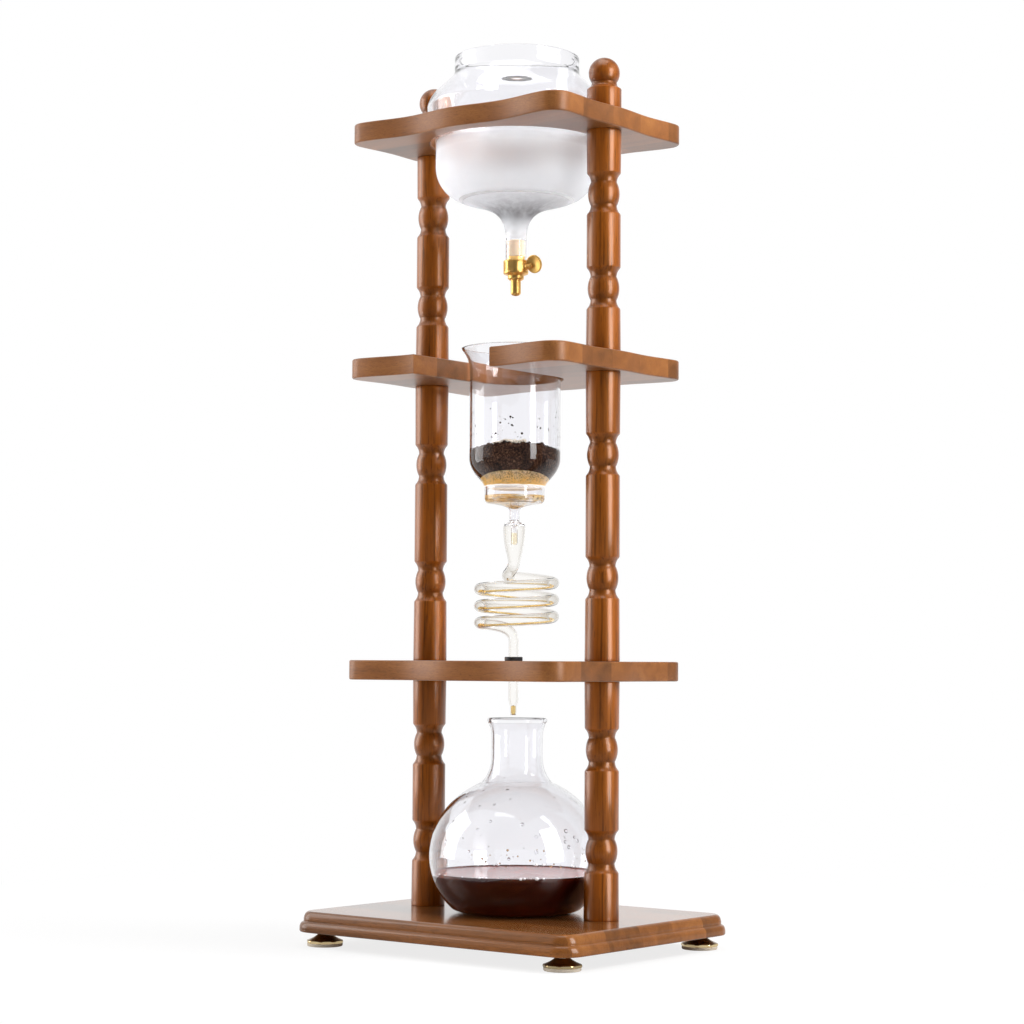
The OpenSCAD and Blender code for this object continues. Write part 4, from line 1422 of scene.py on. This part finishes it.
class TOWER_OT_brewer(Operator):
    """Make the brewing chamber, its ceramic filter, the grounds and the coffee under them"""

    bl_idname = "tower.brewer"
    bl_label = "Brewing chamber"

    def execute(self, context):
        piece("chamber_glass", *lathed(chamber_profile(), 160, loop=True), clear_glass(), "brewer",
              ("brewing_chamber",), "clear_glass", 40)
        part = filling(lambda a, r: PUCK_LOW, lambda a, r: puck_top(a), 0.15, rows=8, rings=4)
        piece("filter_puck", *part, puck(), "brewer", ("ceramic_filter",), "ceramic", 50)
        part = filling(lambda a, r: puck_top(a) + 0.1, lambda a, r: GROUNDS_TOP + heap(a, r), 0.2)
        piece("coffee_grounds", *part, grounds(), "brewer", (), None, 180)
        self.scatter(context.scene.tower_coffee.grains)
        high, low = Z2 - 133, Z2 - 143.5
        bottom = [(r + 0.25, z) for r, z in chamber_outline(CHAMBER_WALL) if low < z < high]
        under = [(0, high), (bottom[0][0], high)] + bottom + [(0, bottom[-1][1])]
        piece("coffee_under_filter", *lathed(cleaned(under), 96), film(), "brewer", (), None, 40)
        drip = [(0, CAP_Z - 17.8), (1.9, CAP_Z - 17.8), (2.05, CAP_Z - 17), (2.05, CAP_Z - 7),
                (0, CAP_Z - 6.4)]
        piece("coffee_in_drip_tube", *lathed(drip, 32), pale_amber(), "brewer", (), None, 40)
        repaint(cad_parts["filter_gasket"], pale_silicone())
        return {"FINISHED"}

    def scatter(self, count):
        """Loose wet grains over the bed, dry ones at its front, and specks on the glass."""
        rings, sides = (42.3, 40, 34, 26, 16, 6), 96
        verts = [polar(r, a, GROUNDS_TOP + heap(a, min(r, HEAP_R)) + 0.1)
                 for r in rings for a in (k * 360 / sides for k in range(sides))]
        faces = bands(len(rings), sides)
        scattered("loose_grains", (verts, faces), "brewer", count / 0.0056 * 4.0,
                  (0.0004, 0.0021), 0.8, 1, 4, grounds())
        keep = [f for f in faces if all(dry_place(verts[i]) for i in f)]
        raised = [(x, y, z + 1.5) for x, y, z in verts]
        scattered("dry_grains", (raised, keep), "brewer", 520000.0,
                  (0.0008, 0.0023), 0.8, 1, 9, dry_grounds())
        heights = (GROUNDS_TOP + h for h in (6, 14, 40))
        part = lathed([(inner_radius(z) - 0.05, z) for z in heights], sides)
        scattered("specks_on_glass", part, "brewer", 7000.0,
                  (0.0004, 0.0014), 0.5, 1, 21, grounds())


def dry_place(p):
    """Whether a point of the bed lies where the photograph's dry grains do."""
    a = math.degrees(math.atan2(p[1], p[0]))
    off = (a - VIEW_SIDE + 180) % 360 - 180
    return -32 < off < 18 and math.hypot(p[0], p[1]) > 30


class TOWER_OT_coil(Operator):
    """Make the glass cooling coil, the coffee that runs through it and its grommet"""

    bl_idname = "tower.coil"
    bl_label = "Coil"

    def execute(self, context):
        turn = Matrix.Rotation(radians(COIL_YAW), 4, "Z")
        path = coil_path()
        points = [tuple(turn @ Vector(p)) for p, _ in path]
        line = plain_mesh("coil_line", points, edges=[(i, i + 1) for i in range(len(points) - 1)],
                          radius_here=[r * MM for _, r in path])
        grown("coil_glass", line, tube_tree(), "coil", ("condenser_coil",), "clear_glass",
              Sides=44, Wall=TUBE_WALL * MM, Material=coil_glass())
        self.coffee(path, turn)
        ring = [(8.3, 0), (8.8, 0.5), (8.8, 3.4), (8.3, 4), (5.7, 4), (5.3, 3.6), (5.3, -9.8),
                (5.6, -10), (7.4, -10), (7.4, 0)]
        ring = [(r, Z1 + z) for r, z in ring]
        piece("grommet_rubber", *lathed(ring, 64, loop=True), black_rubber(), "stand",
              ("tube_grommet",), "black_rubber", 30)
        return {"FINISHED"}

    def coffee(self, path, turn):
        """A thread of coffee on the floor of the tube, fuller at one bend, and the tip's drop."""
        left = (turn.inverted() @ -Vector(TO_RIGHT)).normalized()
        thread, radii = [], []
        for p, r in path:
            if r == TUBE_R and p[2] < HELIX_TOP + 3:
                x, y, z = p
                out = left.dot(Vector((x - COIL_OFF, y, 0))) / COIL_R
                pool = max(0.0, min(1.0, (out - 0.78) / 0.2))
                thread.append(turn @ Vector((x, y, z - 3.45 + pool * 0.75)))
                radii.append(0.85 + pool * 0.95)
        piece("coffee_in_coil", *swept(thread, radii, 14), amber(), "coil", (), None, 60)
        tip = [(0, 0.2), (1.3, 0.3), (2.1, 2.4), (2.15, 8.6), (0, 9.6)]
        tip = [(r, TIP_Z + z) for r, z in tip]
        piece("coffee_in_tip", *lathed(tip, 32), amber(), "coil", (), None, 50)


class TOWER_OT_flask(Operator):
    """Make the flask, the coffee in it, the bubbles on it and the drops on the glass"""

    bl_idname = "tower.flask"
    bl_label = "Flask"

    def execute(self, context):
        at = (FLASK_X, FLASK_Y)
        piece("flask_glass", *lathed(wall(flask_outline, FLASK_WALL), 180, at=at), clear_glass(),
              "receiver", ("flask",), "clear_glass", 40)
        level = context.scene.tower_coffee.level / MM
        inside = [(r + 0.25, z) for r, z in flask_outline(FLASK_WALL) if z < level]
        edge = inside[0][0]
        body = [(0, level), (edge - 4, level), (edge - 1.2, level + 0.3), (edge + 0.1, level + 1.4)]
        body += inside[:-1] + [(0, inside[-1][1])]
        piece("coffee_in_flask", *lathed(cleaned(body), 160, at=at), coffee(), "receiver",
              (), None, 50)
        ring = lathed([(edge - 1.0, level + 1.1), (edge - 0.2, level + 1.7)], 120, at=at)
        scattered("bubbles", ring, "receiver", 60000.0, (0.0005, 0.0021), 0.8, 2, 3, foam())
        drops = context.scene.tower_glass.drops
        scattered("drops_on_flask", self.inside(level + 6, FLASK_MID + 76, at), "receiver",
                  drops / 0.03, (0.0003, 0.0022), 0.3, 2, 12, drop_water())
        scattered("coffee_drops_on_flask", self.inside(level + 4, level + 22, at), "receiver",
                  9000.0, (0.0003, 0.0016), 0.35, 2, 30, drop_coffee())
        return {"FINISHED"}

    def inside(self, low, high, at):
        """The inner wall of the flask between two heights."""
        wet = [(r - 0.1, z) for r, z in flask_outline(FLASK_WALL) if low < z < high]
        return lathed(wet, 120, at=at)


# ---------------------------------------------------------------- stage

CAMERA_SPOT = (1.4752, -1.8636, 0.276)
CAMERA_PITCH, CAMERA_YAW, CAMERA_ROLL = 3.5141, 38.4228, 0.3397
CAMERA_LENS = 85.566


def make_camera():
    """The camera of the main view."""
    data = bpy.data.cameras.new("camera")
    data.lens = CAMERA_LENS
    data.sensor_width = 36.0
    cam = bpy.data.objects.new("camera", data)
    yaw, pitch, roll = (radians(v) for v in (CAMERA_YAW, CAMERA_PITCH, CAMERA_ROLL))
    ahead = Vector((-sin(yaw) * cos(pitch), cos(yaw) * cos(pitch), sin(pitch)))
    right = Vector((cos(yaw), sin(yaw), 0))
    up = right.cross(ahead)
    right = right * cos(roll) + up * sin(roll)
    up = right.cross(ahead)
    cam.matrix_world = Matrix((
        (right.x, up.x, -ahead.x, CAMERA_SPOT[0]),
        (right.y, up.y, -ahead.y, CAMERA_SPOT[1]),
        (right.z, up.z, -ahead.z, CAMERA_SPOT[2]),
        (0, 0, 0, 1),
    ))
    bpy.context.scene.collection.objects.link(cam)
    bpy.context.scene.camera = cam


def make_world():
    """A pale studio: white behind the object, dark behind the camera and dim to its right."""
    world = bpy.data.worlds.new("studio")
    world.use_nodes = True
    bpy.context.scene.world = world
    p = Paint("studio", world.node_tree)
    way = p.node("TexCoord")[0]
    front, side = p.dot(way, (*TO_CAMERA[:2], 0.03)), p.dot(way, TO_RIGHT)
    dark = p.level(front, 0.4, 0.8)
    left = p.level(front, 0.6, 0.26)
    right = p.level(front, 0.94, 0.7, 0.0, 0.27) + p.level(front, -0.5, -0.85, 0.0, 0.73)
    room = 0.035 + (left + p.level(side, -0.1, 0.1) * (right - left)) * 0.965
    rays = p.node("LightPath")
    seen, mirrored, through = rays[CAMERA_RAY], rays[GLOSSY_RAY], rays[TRANSMISSION_RAY]
    lit = 1 - (seen + mirrored + through).math("MINIMUM", 1.0)
    inside = rays[TRANSMISSION_DEPTH].over(0)
    strength = seen + through * (1 - dark * 0.12) + mirrored * (room + inside * (0.85 - room))
    strength = strength.math("MINIMUM", 1.0) + lit * 0.5
    light = p.node("Background", {}, {0: (1, 1, 1), 1: strength})[0]
    p.node("OutputWorld", {}, {0: light})


FLOOR_R = 6000.0


def make_floor():
    """A floor that shows white and keeps the shadow, and that mirrors dim in front."""
    p = Paint("floor")
    rays = p.node("LightPath")
    seen, mirrored, through = rays[CAMERA_RAY], rays[GLOSSY_RAY], rays[TRANSMISSION_RAY]
    shown = (seen + mirrored + through).math("MINIMUM", 1.0)
    away = p.node("VectorMath", {"operation": "LENGTH"}, {0: p.place()})[1]
    white = p.node("Emission", {}, {0: (1, 1, 1), 1: 1.0})[0]
    dim = p.node("Emission", {}, {0: (1, 1, 1), 1: 0.15})[0]
    near = p.level(p.dot(p.place(), TO_CAMERA), -0.15, 0.2)
    white = p.blended(mirrored * (1 - through) * near, white, dim)
    matt = p.surface(Base_Color=(0.9, 0.9, 0.9), Roughness=0.8)
    material = p.done(p.blended(shown * p.level(away, 0.2, 0.9, 0.8, 1.0), matt, white))
    verts, faces = lathed([(0, 0), (800.0, 0), (FLOOR_R, 0)], 96)
    mesh = bpy.data.meshes.new("floor")
    mesh.from_pydata([(x * MM, y * MM, -0.0001) for x, y, _ in verts], [], faces)
    mesh.materials.append(material)
    floor = bpy.data.objects.new("floor", mesh)
    bpy.context.scene.collection.objects.link(floor)


def softbox(name, spot, aim, size, power, shine=True, fill=True):
    """A lamp that shows in gloss (shine), lights matt surfaces (fill), or does both."""
    data = bpy.data.lights.new(name, "AREA")
    data.shape = "RECTANGLE"
    data.size, data.size_y = size
    data.energy = power
    lamp = bpy.data.objects.new(name, data)
    lamp.location = spot
    lamp.rotation_mode = "QUATERNION"
    lamp.rotation_quaternion = (Vector(aim) - Vector(spot)).to_track_quat("-Z", "Y")
    lamp.visible_glossy = shine
    lamp.visible_diffuse = fill
    bpy.context.scene.collection.objects.link(lamp)


class TOWER_OT_stage(Operator):
    """Make the camera, the pale floor and the soft studio light"""

    bl_idname = "tower.stage"
    bl_label = "Stage"

    def execute(self, context):
        make_camera()
        make_world()
        make_floor()
        middle = (0, 0, 0.45)
        softbox("right_shine", (1.95, -0.02, 0.8), middle, (0.85, 1.9), 46, fill=False)
        softbox("right_light", (1.05, 0.45, 1.4), (0, 0, 0.6), (0.6, 0.8), 24, shine=False)
        softbox("left_light", (-1.75, -0.85, 0.8), middle, (1.1, 1.9), 24)
        softbox("top_light", (0.1, -0.3, 2.4), middle, (1.4, 1.4), 14)
        context.scene.view_settings.view_transform = "Standard"
        return {"FINISHED"}


# ---------------------------------------------------------------- add-on

OPERATORS = (
    TOWER_OT_stage, TOWER_OT_boards, TOWER_OT_posts, TOWER_OT_feet, TOWER_OT_globe, TOWER_OT_valve,
    TOWER_OT_brewer, TOWER_OT_coil, TOWER_OT_flask,
)


class TOWER_PT_panel(Panel):
    bl_label = "Drip Tower"
    bl_idname = "TOWER_PT_panel"
    bl_space_type = "VIEW_3D"
    bl_region_type = "UI"
    bl_category = "Drip Tower"

    def draw(self, context):
        for name in GROUPS:
            group = getattr(context.scene, name)
            box = self.layout.box()
            for key in group.__annotations__:
                box.prop(group, key)
        for operator in OPERATORS:
            self.layout.operator(operator.bl_idname)


GROUPS = {"tower_wood": WoodSettings, "tower_glass": GlassSettings, "tower_coffee": CoffeeSettings}


def register():
    """Adds the settings, the operators and the panel."""
    for c in (*GROUPS.values(), *OPERATORS, TOWER_PT_panel):
        bpy.utils.register_class(c)
    for name, group in GROUPS.items():
        setattr(bpy.types.Scene, name, PointerProperty(type=group))


def unregister():
    """Takes out what register adds."""
    for name in GROUPS:
        delattr(bpy.types.Scene, name)
    for c in reversed((*GROUPS.values(), *OPERATORS, TOWER_PT_panel)):
        bpy.utils.unregister_class(c)


def main():
    """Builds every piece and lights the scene."""
    register()
    for operator in OPERATORS:
        getattr(bpy.ops.tower, operator.bl_idname.split(".")[1])()


if __name__ == "__main__":
    main()
